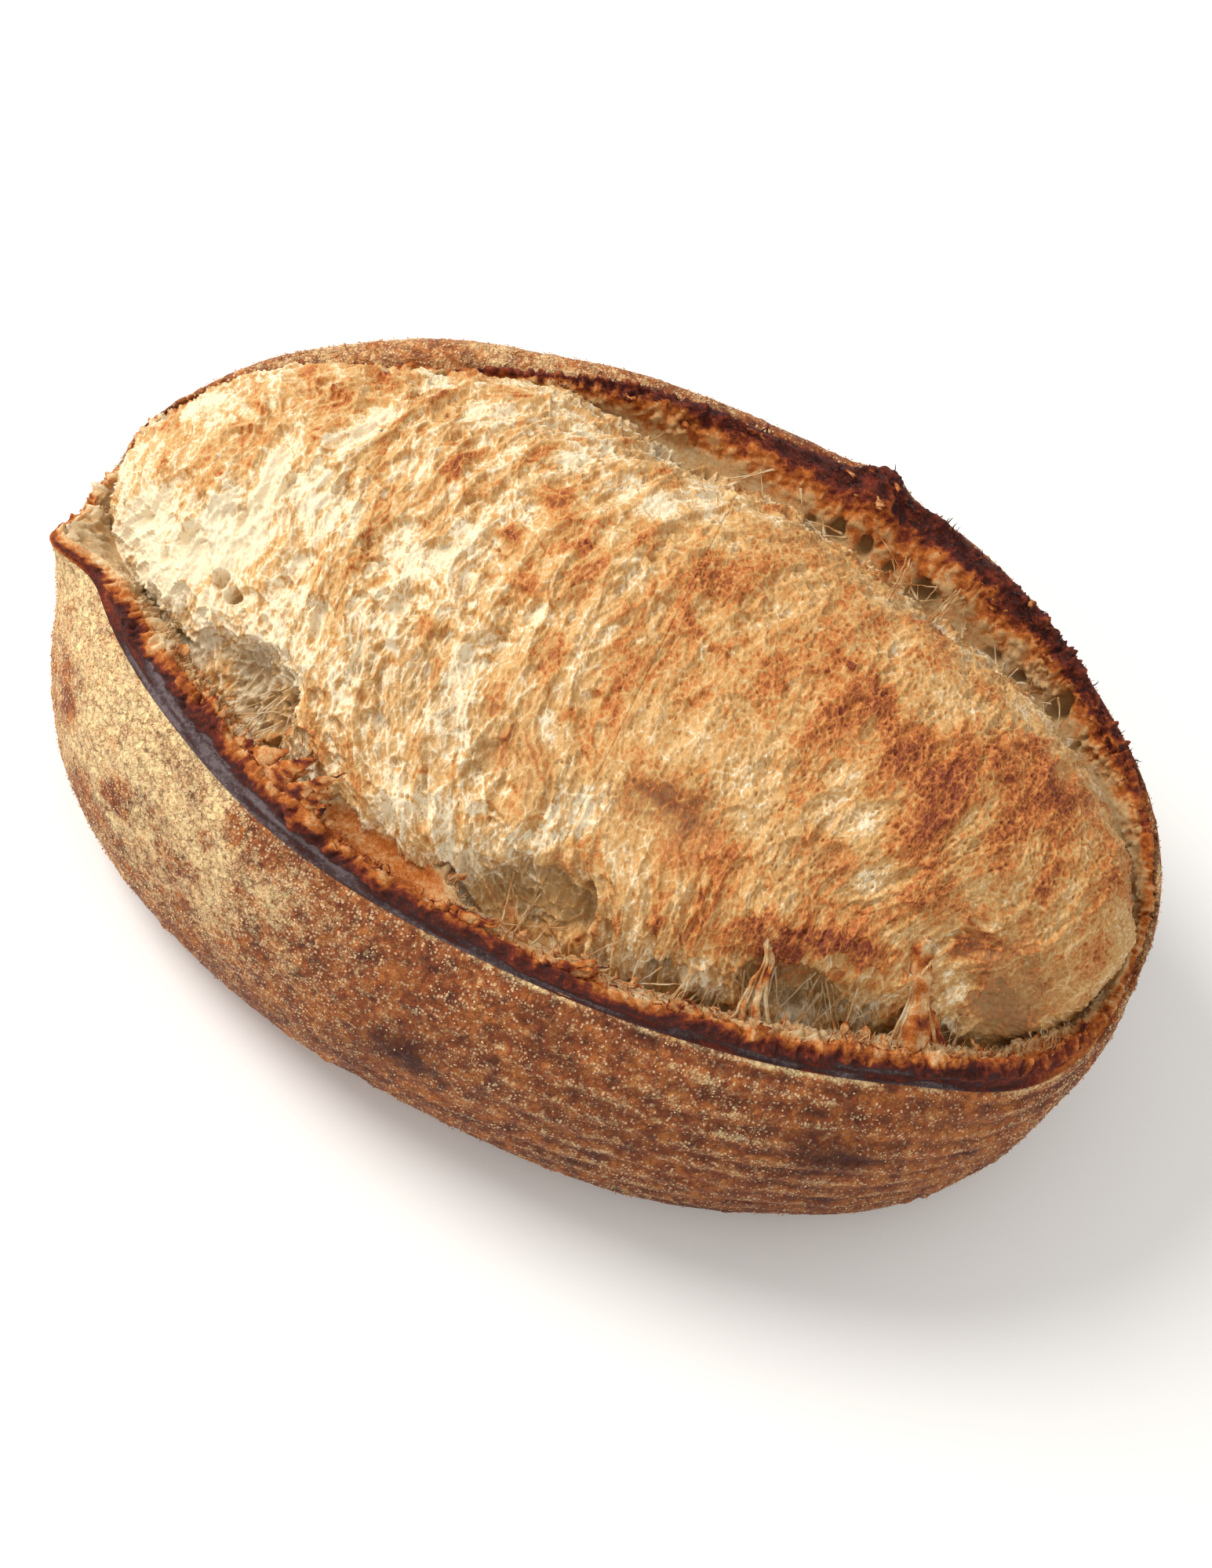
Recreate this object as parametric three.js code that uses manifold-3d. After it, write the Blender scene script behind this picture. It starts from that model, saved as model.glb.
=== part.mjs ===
// Sourdough batard: an oval hearth loaf whose one long score opened wide in the oven.
// It is one closed solid. The crust shell is a body of rings that run from the flat base over the
// belly to the cut lip of the score and down into the groove behind it. The bloom of crumb that rose
// through the score is an arch lofted between the two lips, with its hollows and folds, and the
// shards and strands that tore along the lips are bent spikes fused to both.
// Millimetres, +Z up. The loaf rests on z = 0, its length lies along X, and the side that shows the
// wide band of floured crust is towards -Y.

import * as THREE from 'three';
import { mergeVertices } from 'three/addons/utils/BufferGeometryUtils.js';
import Module from 'manifold-3d';

const wasm = await Module();
wasm.setup();

// Plan and side view of the crust.
const HALF_LENGTH = 125;
const HALF_WIDTH = 82;
const OUTLINE_POWER = 2.15;  // of the superellipse seen from above, where 2 is an ellipse
const BASE_INSET = 15;       // from the widest outline in to the edge of the flat base
const BELLY_HEIGHT = 26;     // of the widest outline above the base

// The lip of the score at 16 equal steps round the loaf, from +X by way of +Y, in millimetres:
// how far it lies inside the widest outline, how high its outer edge is, how wide the dark cut face
// above that edge is, and how deep and wide the groove behind it is. turn is the degrees of arc
// that the wall takes from the belly up to the lip: past 90 it has a shoulder higher than the lip.
const LIP = {
  inset: [4, 4, 5, 8, 12, 17.5, 16.5, 6, 1, 9.5, 13.5, 14, 16, 16, 13, 6],
  height: [57, 65, 71.5, 80, 81, 79, 73, 61, 55, 59, 63, 64, 64, 64, 62, 56],
  turn: [104, 104, 84, 88, 95, 102, 104, 104, 96, 72, 66, 64, 62, 62, 62, 68],
  cut: [2, 3, 5, 5, 4, 2, 1.5, 1.5, 2, 6, 8, 7, 4.5, 5, 6.5, 6],
  deep: [3, 5, 8, 9, 7, 2, 1, 1, 2, 6, 8, 7, 7, 8, 8, 5],
  wide: [3, 4, 7, 12, 8.5, 2.5, 2.5, 2.5, 3, 6, 7, 7, 7, 7, 7, 5],
};
const CUT_SLOPE = 0.7;       // rise, and run, of the cut face for each millimetre of its width
const RAGGED_RUN = 0.45;     // of the groove's width, where the torn band behind the crest ends
const RAGGED_DROP = 0.2;     // of the groove's depth, at the same place

// Places where the lip stands out: the pinched tip at the left end, the pushed-up crust beside the
// narrow end of the far lip, and the peak of the charred ear. Degrees, then millimetres.
const LIP_PEAKS = [
  { at: 192, spread: 4, out: 7.5, up: 0 },
  { at: 177, spread: 4, out: -3, up: 0 },
  { at: 104, spread: 7, out: 0, up: 2 },
  { at: 78, spread: 2.5, out: 1, up: 4 },
];
const LIP_WAVES = [[17, 0.5], [29, 0.45], [43, 0.3]];  // ripples round the lip and their heights

// The bloom between the lips.
const TOP_HEIGHT = 100;      // of the middle of the bloom
const ROOT_DEPTH = 1;        // the bloom's edges lie this far below the groove, inside the crust
const UNDERSIDE_DEPTH = 12;  // its hidden underside sags this far below its edges
const END_RISE = 5;          // of the bloom over its edges at the two ends
const END_POWER = 0.7;       // how soon the bloom gains its full height from either end
const NEAR_POWER = 0.72;     // how steeply it climbs from the near lip
const FAR_POWER = [2.4, 0.75];  // and how it falls to the far lip, at the right and left ends
const CROWN_DROP = 8;        // the arch's own height ends this far under the middle of the bloom
const END_ANGLE = 0.05;      // radians from each end at which the loft starts and stops
const CORE_HEIGHT = 66;      // of the middle of the crust body's hidden top, under the bloom
const CORE_DIP = 1;          // the hidden top starts this far below the groove

// Hollows (negative) and folds of the bloom: middle, reach along X, Y and Z, and height along the
// surface's own normal.
const RELIEF = [
  { at: [-69, -35, 67], reach: [13, 10, 10], out: -7 },
  { at: [-79, -27, 75], reach: [10, 5, 4], out: 2 },
  { at: [-30, -47, 72], reach: [9, 8, 8], out: 2 },
  { at: [1, -51, 69], reach: [13, 7, 8], out: -5.5 },
  { at: [-9, -44, 79], reach: [10, 4, 4], out: 1.5 },
  { at: [16, -33, 86], reach: [13, 5, 5], out: -1.5 },
  { at: [13, -25, 91], reach: [9, 4, 5], out: 2.5 },
  { at: [54, -44, 69], reach: [20, 7, 6], out: -5.5 },
  { at: [47, -38, 79], reach: [20, 5, 4], out: 3 },
  { at: [97, -23, 69], reach: [15, 11, 8], out: -3 },
  { at: [-97, 2, 82], reach: [5, 12, 8], out: 2.5 },
  { at: [-85, -14, 80], reach: [7, 9, 8], out: -2 },
  { at: [-60, 2, 95], reach: [12, 18, 8], out: -1.5 },
  { at: [-14, 10, 98], reach: [22, 12, 8], out: 2 },
  { at: [62, -5, 90], reach: [22, 18, 10], out: 1.5 },
  { at: [55, 45, 78], reach: [9, 5, 6], out: -2.5 },
  { at: [25, 52, 79], reach: [9, 4, 6], out: -2.5 },
];

// Torn shards on the near lip. Each stands on the crest at an angle in degrees; the rest are
// millimetres: its width and thickness at the root, and how far its tip lies along the lip towards
// +X, in over the groove, and up.
const SHARDS = [
  { at: 229, wide: 9, thick: 3, along: -3, over: 3, up: 3 },
  { at: 239, wide: 12, thick: 3, along: -3, over: 6, up: 8 },
  { at: 243.5, wide: 11, thick: 3, along: 3, over: 6, up: 7 },
  { at: 248.5, wide: 9, thick: 3, along: 4, over: 4, up: 3 },
  { at: 260, wide: 12, thick: 3, along: -2, over: 5, up: 5.5 },
  { at: 264, wide: 10, thick: 3, along: 12, over: 4, up: 4 },
  { at: 273.5, wide: 10, thick: 3, along: 10, over: 4, up: 4.5 },
  { at: 284, wide: 7, thick: 2.5, along: 3, over: 3, up: 3.5 },
];

// Strands that still hold the bloom to a lip: the angle on the lip, the foot's and the waist's
// thickness, and the far end, as a point on the bloom.
const STRANDS = [
  { at: 287.5, foot: 4, waist: 2.2, to: [34, -49, 68] },
  { at: 292.5, foot: 5, waist: 2.4, to: [44, -42, 75] },
  { at: 311, foot: 9, waist: 4.5, to: [70, -34, 73] },
  { at: 316, foot: 8, waist: 4, to: [77, -34, 70] },
];
const ROOT_SINK = 2;         // how far a shard's or strand's ends reach into what they grow from
const SHARD_TAPER = 0.8;     // power of the narrowing towards the tip

// Fineness of the surfaces.
const AROUND = 104;
const BASE_RINGS = [0.5, 1];
const BELLY_STEPS = 4;
const WALL_STEPS = 6;
const CORE_RINGS = [0.08, 0.5];
const BLOOM_SECTIONS = 72;
const BLOOM_STEPS = 24;
const UNDERSIDE_STEPS = 6;
const SPIKE_RINGS = 4;
const SPIKE_SIDES = 6;

const { degToRad, lerp } = THREE.MathUtils;
const TURN = 2 * Math.PI;
const UP = new THREE.Vector3(0, 0, 1);

// A smooth closed run of values through equally spaced knots (Catmull-Rom), at an angle.
function around(knots, angle) {
  const place = THREE.MathUtils.euclideanModulo(angle / TURN, 1) * knots.length;
  const at = Math.floor(place);
  const f = place - at;
  const [a, b, c, d] = [-1, 0, 1, 2].map((step) => knots.at((at + step) % knots.length));
  const cubic = 3 * (b - c) + d - a;
  const square = 2 * a - 5 * b + 4 * c - d;
  return b + 0.5 * f * (c - a + f * (square + f * cubic));
}

// A bell of height 1 at 0, which has fallen to 1/e at 1.
function bell(distance) {
  return Math.exp(-distance * distance);
}

// The shorter way round from one angle to another.
function turnBetween(a, b) {
  return Math.abs(THREE.MathUtils.euclideanModulo(a - b + Math.PI, TURN) - Math.PI);
}

// A number to a power, keeping its sign.
function signedPower(value, power) {
  return Math.sign(value) * Math.abs(value) ** power;
}

// The lip's smooth values at an angle.
function lip(angle) {
  return Object.fromEntries(Object.entries(LIP).map(([name, knots]) => [name, around(knots, angle)]));
}

// How far the lip's peaks stand out and up at an angle.
function peaks(angle) {
  let [out, up] = [0, 0];
  for (const peak of LIP_PEAKS) {
    const share = bell(turnBetween(angle, degToRad(peak.at)) / degToRad(peak.spread));
    out += peak.out * share;
    up += peak.up * share;
  }
  return { out, up };
}

// The height of the ripples round the lip at an angle.
function ripple(angle) {
  return LIP_WAVES.reduce((sum, [count, size]) => sum + size * Math.sin(count * angle + count), 0);
}

// The outward direction of the widest outline at an angle.
function outward(angle) {
  const turn = 2 - 2 / OUTLINE_POWER;
  const x = signedPower(Math.cos(angle), turn) / HALF_LENGTH;
  const y = signedPower(Math.sin(angle), turn) / HALF_WIDTH;
  return new THREE.Vector3(x, y, 0).normalize();
}

// The point that lies so far inside the widest outline, at a height.
function inside(angle, inset, height) {
  const x = HALF_LENGTH * signedPower(Math.cos(angle), 2 / OUTLINE_POWER);
  const y = HALF_WIDTH * signedPower(Math.sin(angle), 2 / OUTLINE_POWER);
  return new THREE.Vector3(x, y, height).addScaledVector(outward(angle), -inset);
}

function crest(angle) {
  const { inset, height, cut } = lip(angle);
  const { out, up } = peaks(angle);
  return inside(angle, inset - out + CUT_SLOPE * cut, height + up + CUT_SLOPE * cut + ripple(angle));
}

// The edge of the torn band behind the crest, which is part of the way to the groove.
function raggedEdge(angle) {
  const { deep, wide } = lip(angle);
  const drop = RAGGED_DROP * deep + 2 * ripple(angle);
  return crest(angle).addScaledVector(outward(angle), -RAGGED_RUN * wide).addScaledVector(UP, -drop);
}

function groove(angle) {
  const { inset, height, cut, deep, wide } = lip(angle);
  return inside(angle, inset + CUT_SLOPE * cut + wide, height + CUT_SLOPE * cut - deep);
}

// One section of the crust at an angle, from the base by way of the belly and the lip to the
// hidden core: a quarter ellipse under the belly, a longer arc above it, then the cut face, the
// torn band and the groove.
function crustProfile(angle) {
  const { inset, height, turn } = lip(angle);
  const { out, up } = peaks(angle);
  const points = BASE_RINGS.map((share) => inside(angle, BASE_INSET, 0).multiplyScalar(share));
  for (let i = 1; i <= BELLY_STEPS; i++) {
    const arc = (i / BELLY_STEPS) * (Math.PI / 2);
    points.push(inside(angle, BASE_INSET * (1 - Math.sin(arc)), BELLY_HEIGHT * (1 - Math.cos(arc))));
  }
  const full = degToRad(turn);
  for (let i = 1; i <= WALL_STEPS; i++) {
    const arc = (i / WALL_STEPS) * full;
    const lean = (inset - out) * ((1 - Math.cos(arc)) / (1 - Math.cos(full)));
    const climb = (height + up - BELLY_HEIGHT) * (Math.sin(arc) / Math.sin(full));
    points.push(inside(angle, lean, BELLY_HEIGHT + climb));
  }
  points.push(crest(angle));
  points.push(raggedEdge(angle));
  const bottom = groove(angle);
  points.push(bottom);
  for (const share of CORE_RINGS) {
    const point = bottom.clone().multiplyScalar(1 - share);
    point.z = lerp(bottom.z - CORE_DIP, CORE_HEIGHT, share);
    points.push(point);
  }
  return points;
}

// The bloom's arch without its relief. along runs from the right end (0) to the left end (PI), and
// over from the near lip (0) across the top to the far lip (PI).
function arch(along, over) {
  const near = groove(TURN - along);
  const far = groove(along);
  const share = (1 - Math.cos(over)) / 2;
  const point = near.clone().lerp(far, share);
  const fullness = Math.max(Math.sin(along), 0) ** END_POWER;
  const middle = (near.z + far.z) / 2;
  const rise = Math.max(TOP_HEIGHT - CROWN_DROP - middle + ROOT_DEPTH, 0) * fullness + END_RISE;
  const farPower = lerp(...FAR_POWER, (1 - Math.cos(along)) / 2);
  const power = lerp(NEAR_POWER, farPower, share);
  point.z += rise * Math.max(Math.sin(over), 0) ** power - ROOT_DEPTH;
  return point;
}

// The arch with its hollows and folds, moved along its normal.
function bloom(along, over) {
  const step = 0.01;
  const point = arch(along, over);
  const length = arch(along + step, over).sub(arch(along - step, over));
  const width = arch(along, over + step).sub(arch(along, over - step));
  const normal = width.cross(length).normalize();
  const height = RELIEF.reduce((sum, { at, reach, out }) => {
    const [x, y, z] = point.toArray().map((value, axis) => (value - at[axis]) / reach[axis]);
    return sum + out * bell(Math.hypot(x, y, z));
  }, 0);
  return point.addScaledVector(normal, height);
}

// A closed skin over rings of points, with a point that closes it at each end. Each ring runs the
// right-handed way about the direction in which the rings follow each other.
function skin(rings, start, end) {
  const count = rings[0].length;
  const positions = [start, ...rings.flat(), end].flatMap((point) => point.toArray());
  const last = rings.length * count + 1;
  const vertex = (ring, i) => 1 + ring * count + (i % count);
  const index = [];
  for (let i = 0; i < count; i++) {
    index.push(0, vertex(0, i + 1), vertex(0, i));
    index.push(last, vertex(rings.length - 1, i), vertex(rings.length - 1, i + 1));
    for (let ring = 0; ring < rings.length - 1; ring++) {
      const [a, b] = [vertex(ring, i), vertex(ring, i + 1)];
      const [c, d] = [vertex(ring + 1, i + 1), vertex(ring + 1, i)];
      index.push(a, b, c, a, c, d);
    }
  }
  const geometry = new THREE.BufferGeometry();
  geometry.setAttribute('position', new THREE.Float32BufferAttribute(positions, 3));
  geometry.setIndex(index);
  return geometry;
}

function crustGeometry() {
  const profiles = Array.from({ length: AROUND }, (_, i) => crustProfile((i / AROUND) * TURN));
  const rings = profiles[0].map((_, ring) => profiles.map((profile) => profile[ring]));
  return skin(rings, new THREE.Vector3(), new THREE.Vector3(0, 0, CORE_HEIGHT));
}

function bloomGeometry() {
  const rings = [];
  for (let i = 0; i <= BLOOM_SECTIONS; i++) {
    const along = lerp(END_ANGLE, Math.PI - END_ANGLE, i / BLOOM_SECTIONS);
    const ring = [];
    for (let j = 0; j <= BLOOM_STEPS; j++) {
      ring.push(bloom(along, (j / BLOOM_STEPS) * Math.PI));
    }
    const [near, far] = [ring[0], ring.at(-1)];
    for (let j = 1; j < UNDERSIDE_STEPS; j++) {
      const share = j / UNDERSIDE_STEPS;
      const sag = UNDERSIDE_DEPTH * Math.sqrt(Math.sin(share * Math.PI));
      ring.push(far.clone().lerp(near, share).addScaledVector(UP, -sag));
    }
    rings.push(ring);
  }
  const closing = (ring) => ring[0].clone().lerp(ring[BLOOM_STEPS], 0.5);
  return skin(rings, closing(rings[0]), closing(rings.at(-1)));
}

// A bent spike along a curve: elliptical rings, as wide across as given, whose size at each share
// of the way is the factor that taper returns.
function spike(curve, across, wide, thick, taper) {
  const rings = [];
  for (let i = 0; i <= SPIKE_RINGS; i++) {
    const share = i / (SPIKE_RINGS + 1);
    const along = curve.getTangent(share);
    const side = across.clone().addScaledVector(along, -across.dot(along)).normalize();
    const over = along.clone().cross(side);
    const ring = [];
    for (let j = 0; j < SPIKE_SIDES; j++) {
      const turn = (j / SPIKE_SIDES) * TURN;
      const point = curve.getPoint(share);
      point.addScaledVector(side, (wide / 2) * taper(share) * Math.cos(turn));
      point.addScaledVector(over, (thick / 2) * taper(share) * Math.sin(turn));
      ring.push(point);
    }
    rings.push(ring);
  }
  return skin(rings, curve.getPoint(0), curve.getPoint(1));
}

// A shard bends over from the crest towards its tip, and its blade faces across the lip.
function shardGeometry({ at, wide, thick, along, over, up }) {
  const angle = degToRad(at);
  const inwards = outward(angle).negate();
  const lipwards = UP.clone().cross(outward(angle));
  const root = crest(angle).addScaledVector(UP, -ROOT_SINK).addScaledVector(inwards, thick / 2);
  const tip = root.clone().addScaledVector(lipwards, along);
  tip.addScaledVector(inwards, over).addScaledVector(UP, up + ROOT_SINK);
  const bend = root.clone().addScaledVector(lipwards, along / 4).addScaledVector(UP, up);
  const curve = new THREE.QuadraticBezierCurve3(root, bend, tip);
  return spike(curve, lipwards, wide, thick, (share) => (1 - share) ** SHARD_TAPER);
}

// A strand leaves the lip's torn band, thins to its waist and spreads again where it goes into the
// bloom.
function strandGeometry({ at, foot, waist, to }) {
  const angle = degToRad(at);
  const inwards = outward(angle).negate();
  const lipwards = UP.clone().cross(outward(angle));
  const root = crest(angle).addScaledVector(inwards, ROOT_SINK).addScaledVector(UP, -ROOT_SINK);
  const end = new THREE.Vector3(...to).addScaledVector(inwards, 1.5 * ROOT_SINK);
  const bend = root.clone().lerp(end, 0.5).addScaledVector(UP, waist / 2);
  const curve = new THREE.QuadraticBezierCurve3(root, bend, end);
  const taper = (share) => lerp(waist / foot, 1, (2 * share - 1) ** 2);
  return spike(curve, lipwards, foot, foot * 0.7, taper);
}

// A closed geometry as a solid that can be joined.
function solid(geometry) {
  const merged = mergeVertices(geometry);
  return new wasm.Manifold(new wasm.Mesh({
    numProp: 3,
    vertProperties: new Float32Array(merged.attributes.position.array),
    triVerts: new Uint32Array(merged.index.array),
  }));
}

// A joined solid back as a geometry.
function geometryOf(joined) {
  const mesh = joined.getMesh();
  const geometry = new THREE.BufferGeometry();
  geometry.setAttribute('position', new THREE.BufferAttribute(mesh.vertProperties, 3));
  geometry.setIndex(new THREE.BufferAttribute(mesh.triVerts, 1));
  geometry.computeVertexNormals();
  return geometry;
}

const pieces = [
  crustGeometry(),
  bloomGeometry(),
  ...SHARDS.map(shardGeometry),
  ...STRANDS.map(strandGeometry),
];
const joined = pieces.map(solid).reduce((whole, piece) => whole.add(piece));

const crustMaterial = new THREE.MeshStandardMaterial({ color: '#a9713c', roughness: 0.8, metalness: 0 });
const loaf = new THREE.Mesh(geometryOf(joined), crustMaterial);
loaf.name = 'loaf';

const group = new THREE.Group();
group.add(loaf);
export default group;
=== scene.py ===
"""Sourdough batard: a floured hearth crust, its torn, charred lip, and the bloom of crumb between.

Every surface is a numpy array of points worked out from the loaf's driving sizes, in millimetres,
and turned to metres where it becomes a mesh. Lengths along X, the wide band of crust towards -Y.
"""

import functools
import itertools
import math

import bpy
import numpy as np
from bpy.props import FloatProperty, FloatVectorProperty, IntProperty, PointerProperty
from bpy.types import Operator, Panel, PropertyGroup
from mathutils import Matrix, Vector


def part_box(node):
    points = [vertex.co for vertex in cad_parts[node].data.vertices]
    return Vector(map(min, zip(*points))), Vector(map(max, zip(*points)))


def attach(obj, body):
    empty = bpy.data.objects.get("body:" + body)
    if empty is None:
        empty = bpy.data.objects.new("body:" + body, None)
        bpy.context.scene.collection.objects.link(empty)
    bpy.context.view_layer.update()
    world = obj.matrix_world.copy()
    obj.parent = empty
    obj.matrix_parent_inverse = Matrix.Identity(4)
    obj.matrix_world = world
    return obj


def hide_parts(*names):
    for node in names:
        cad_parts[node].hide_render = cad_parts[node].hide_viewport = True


bl_info = {
    "name": "Sourdough loaf",
    "version": (1, 0, 0),
    "blender": (4, 5, 0),
    "location": "3D View > Sidebar > Loaf",
    "description": "Builds an oval hearth loaf with one opened score",
    "category": "Mesh",
}

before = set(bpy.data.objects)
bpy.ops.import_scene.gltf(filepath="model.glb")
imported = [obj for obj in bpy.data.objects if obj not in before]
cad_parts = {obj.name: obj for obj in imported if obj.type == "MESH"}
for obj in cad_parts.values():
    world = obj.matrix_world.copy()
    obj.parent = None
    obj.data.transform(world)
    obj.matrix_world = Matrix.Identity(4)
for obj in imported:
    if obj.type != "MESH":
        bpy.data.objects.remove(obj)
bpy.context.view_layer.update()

MM = 0.001
TURN = 2 * math.pi
SEED = 11
NODE = "loaf"
BODY = "root"

# Plan and side view of the crust, in millimetres.
HALF_LENGTH, HALF_WIDTH, TOP_HEIGHT = (float(size) * 1000 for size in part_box("loaf")[1])
OUTLINE_POWER = 2.15         # of the superellipse seen from above, where 2 is an ellipse
BASE_INSET = 15              # from the widest outline in to the edge of the flat base
BELLY_HEIGHT = 26            # of the widest outline above the base
PERIMETER = math.pi * (3 * (HALF_LENGTH + HALF_WIDTH)
                       - math.sqrt((3 * HALF_LENGTH + HALF_WIDTH) * (HALF_LENGTH + 3 * HALF_WIDTH)))

# The lip of the score at 16 equal steps round the loaf, from +X by way of +Y: how far it lies
# inside the widest outline, how high its outer edge is, the degrees of arc that the wall takes up
# to it, how wide the cut face above that edge is, how deep and wide the groove behind it is, how
# ragged its crest is (0 to 1), which share of the cut face is smooth char, how black that char is
# (0 to 1), how many bands of the lip are burnt through, and over how many more the colour fades.
LIP = {
    "inset": [4, 4, 5, 8, 12, 17.5, 16.5, 6, 1, 9.5, 13.5, 14, 16, 16, 13, 6],
    "height": [57, 65, 71.5, 80, 81, 79, 73, 61, 55, 59, 63, 64, 64, 64, 62, 56],
    "turn": [104, 104, 84, 88, 95, 102, 104, 104, 96, 72, 66, 64, 62, 62, 62, 68],
    "cut": [2, 3, 5, 5, 4, 2, 1.5, 1.5, 2, 6, 8, 7, 4.5, 5, 6.5, 6],
    "deep": [3, 5, 8, 9, 7, 2, 1, 1, 2, 6, 8, 7, 7, 8, 8, 5],
    "wide": [3, 4, 7, 12, 8.5, 2.5, 2.5, 2.5, 3, 6, 7, 7, 7, 7, 7, 5],
    "ragged": [0.3, 0.3, 0.4, 0.5, 0.5, 0.3, 0.2, 0.2, 0.4, 0.8, 1, 1, 0.9, 0.8, 0.6, 0.4],
    "smooth": [0.6, 0.6, 0.3, 0.1, 0.15, 0.3, 0.5, 0.5, 0.2, 0.42, 0.5, 0.46, 0.36, 0.4, 0.42, 0.5],
    "black": [0.4, 0.5, 0.68, 0.74, 0.72, 0.66, 0.6, 0.5, 0.45, 0.7, 0.93, 0.92, 0.86, 0.78, 0.86, 0.6],
    "burnt": [1.2, 1.4, 1.5, 1.7, 1.5, 1.2, 0.9, 0.5, 0.4, 0.6, 0.62, 0.6, 0.58, 0.46, 0.58, 0.9],
    "fade": [1.1, 1.1, 1.1, 1.1, 1.3, 1.3, 1, 0.9, 0.7, 0.68, 0.68, 0.75, 0.9, 1, 1, 1],
}
CUT_SLOPE = 0.7              # rise, and run, of the cut face for each millimetre of its width
RAGGED_RUN = 0.45            # of the groove's width, where the torn band behind the crest ends
RAGGED_DROP = 0.2            # of the groove's depth, at the same place

# Places where the lip stands out: degrees, spread in degrees, then millimetres out and up.
LIP_PEAKS = [
    (192, 4, 7.5, 0),
    (177, 4, -3, 0),
    (104, 7, 0, 2),
    (78, 2.5, 1, 4),
]
LIP_WAVES = [(17, 0.5), (29, 0.45), (43, 0.3)]   # ripples round the lip and their heights

# Shelves where the torn band reaches in over the groove: degrees, spread, millimetres.
SHELVES = [
    (250.5, 4.5, 6.5),
    (258.5, 4.5, 7.5),
    (340, 8, 2),
]

# The bloom between the lips.
ROOT_DEPTH = 1               # its edges lie this far below the groove
UNDERSIDE_DEPTH = 12         # its hidden underside sags this far below its edges
END_RISE = 5                 # of the bloom over its edges at the two ends
END_POWER = 0.7              # how soon the bloom gains its full height from either end
NEAR_POWER = 0.72            # how steeply it climbs from the near lip
FAR_POWER = (2.4, 0.75)      # and how it falls to the far lip, at the right and left ends
CROWN_DROP = 8               # the arch's own height ends this far under the middle of the bloom
END_ANGLE = 0.05             # radians from each end at which the arch starts and stops

# Hollows (negative) and folds of the bloom: middle, reach, and height along the surface's normal.
RELIEF = [
    ((-69, -35, 67), (13, 10, 10), -7),
    ((-79, -27, 75), (10, 5, 4), 2),
    ((-30, -47, 72), (9, 8, 8), 2),
    ((1, -51, 69), (13, 7, 8), -5.5),
    ((-9, -44, 79), (10, 4, 4), 1.5),
    ((16, -33, 86), (13, 5, 5), -1.5),
    ((13, -25, 91), (9, 4, 5), 2.5),
    ((54, -44, 69), (20, 7, 6), -5.5),
    ((47, -38, 79), (20, 5, 4), 3),
    ((97, -23, 69), (15, 11, 8), -3),
    ((-97, 2, 82), (5, 12, 8), 2.5),
    ((-85, -14, 80), (7, 9, 8), -2),
    ((-60, 2, 95), (12, 18, 8), -1.5),
    ((-14, 10, 98), (22, 12, 8), 2),
    ((62, -5, 90), (22, 18, 10), 1.5),
    ((55, 45, 78), (9, 5, 6), -2.5),
    ((25, 52, 79), (9, 4, 6), -2.5),
    ((-12, 56, 82), (15, 9, 10), -6),
]

# Steep-walled hollows under the bloom's folds: middle, reach, depth.
CAVES = [
    ((-67, -36, 69), (13, 9, 12), 2.2),
    ((0, -52, 69), (12, 7, 9), 2.2),
    ((56, -44, 68), (21, 6.5, 8), 2.4),
    ((-12, 54, 83), (15, 8, 9), 2.0),
]

# Single gas cells that lie open: middle, radius along the loaf and across it, depth.
OPEN_CELLS = [
    ((-86, -23, 78), 1.7, 2.0, 3.5),
    ((-82, -25, 78), 1.5, 2.0, 3.5),
    ((-63, -37, 70), 2.0, 2.5, 2.5),
    ((-70, -38, 64), 1.6, 1.8, 2.5),
    ((-61, -44, 63), 1.8, 2.2, 2.5),
    ((-8, -46, 72), 2.2, 3.0, 2.5),
    ((9, -50, 70), 2.6, 4.5, 3.0),
    ((28, -53, 66), 3.0, 2.0, 3.0),
    ((59, -38, 76), 3.2, 2.4, 3.0),
    ((55, -45, 67), 3.2, 2.6, 2.5),
    ((-3, 55, 82), 3.0, 2.2, 4.0),
    ((12, 50, 84), 1.8, 1.8, 3.5),
    ((17, 56, 77), 2.2, 2.4, 4.5),
    ((23, 58, 75), 2.4, 2.8, 4.5),
    ((30, 57, 75), 2.4, 2.2, 4.5),
    ((37, 55, 75), 1.4, 1.8, 3.0),
    ((46, 53, 74), 4.2, 3.4, 6.0),
    ((53, 47, 76), 2.6, 3.0, 5.0),
    ((60, 43, 78), 2.0, 3.0, 4.0),
    ((66, 49, 71), 2.8, 2.4, 4.0),
    ((73, 48, 69), 2.4, 2.6, 4.0),
    ((84, 48, 66), 2.4, 4.0, 5.0),
    ((91, 39, 67), 2.0, 4.5, 5.0),
    ((-33, 54, 84), 4.0, 2.0, 3.5),
    ((-20, 55, 83), 4.0, 1.8, 3.0),
]

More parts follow.
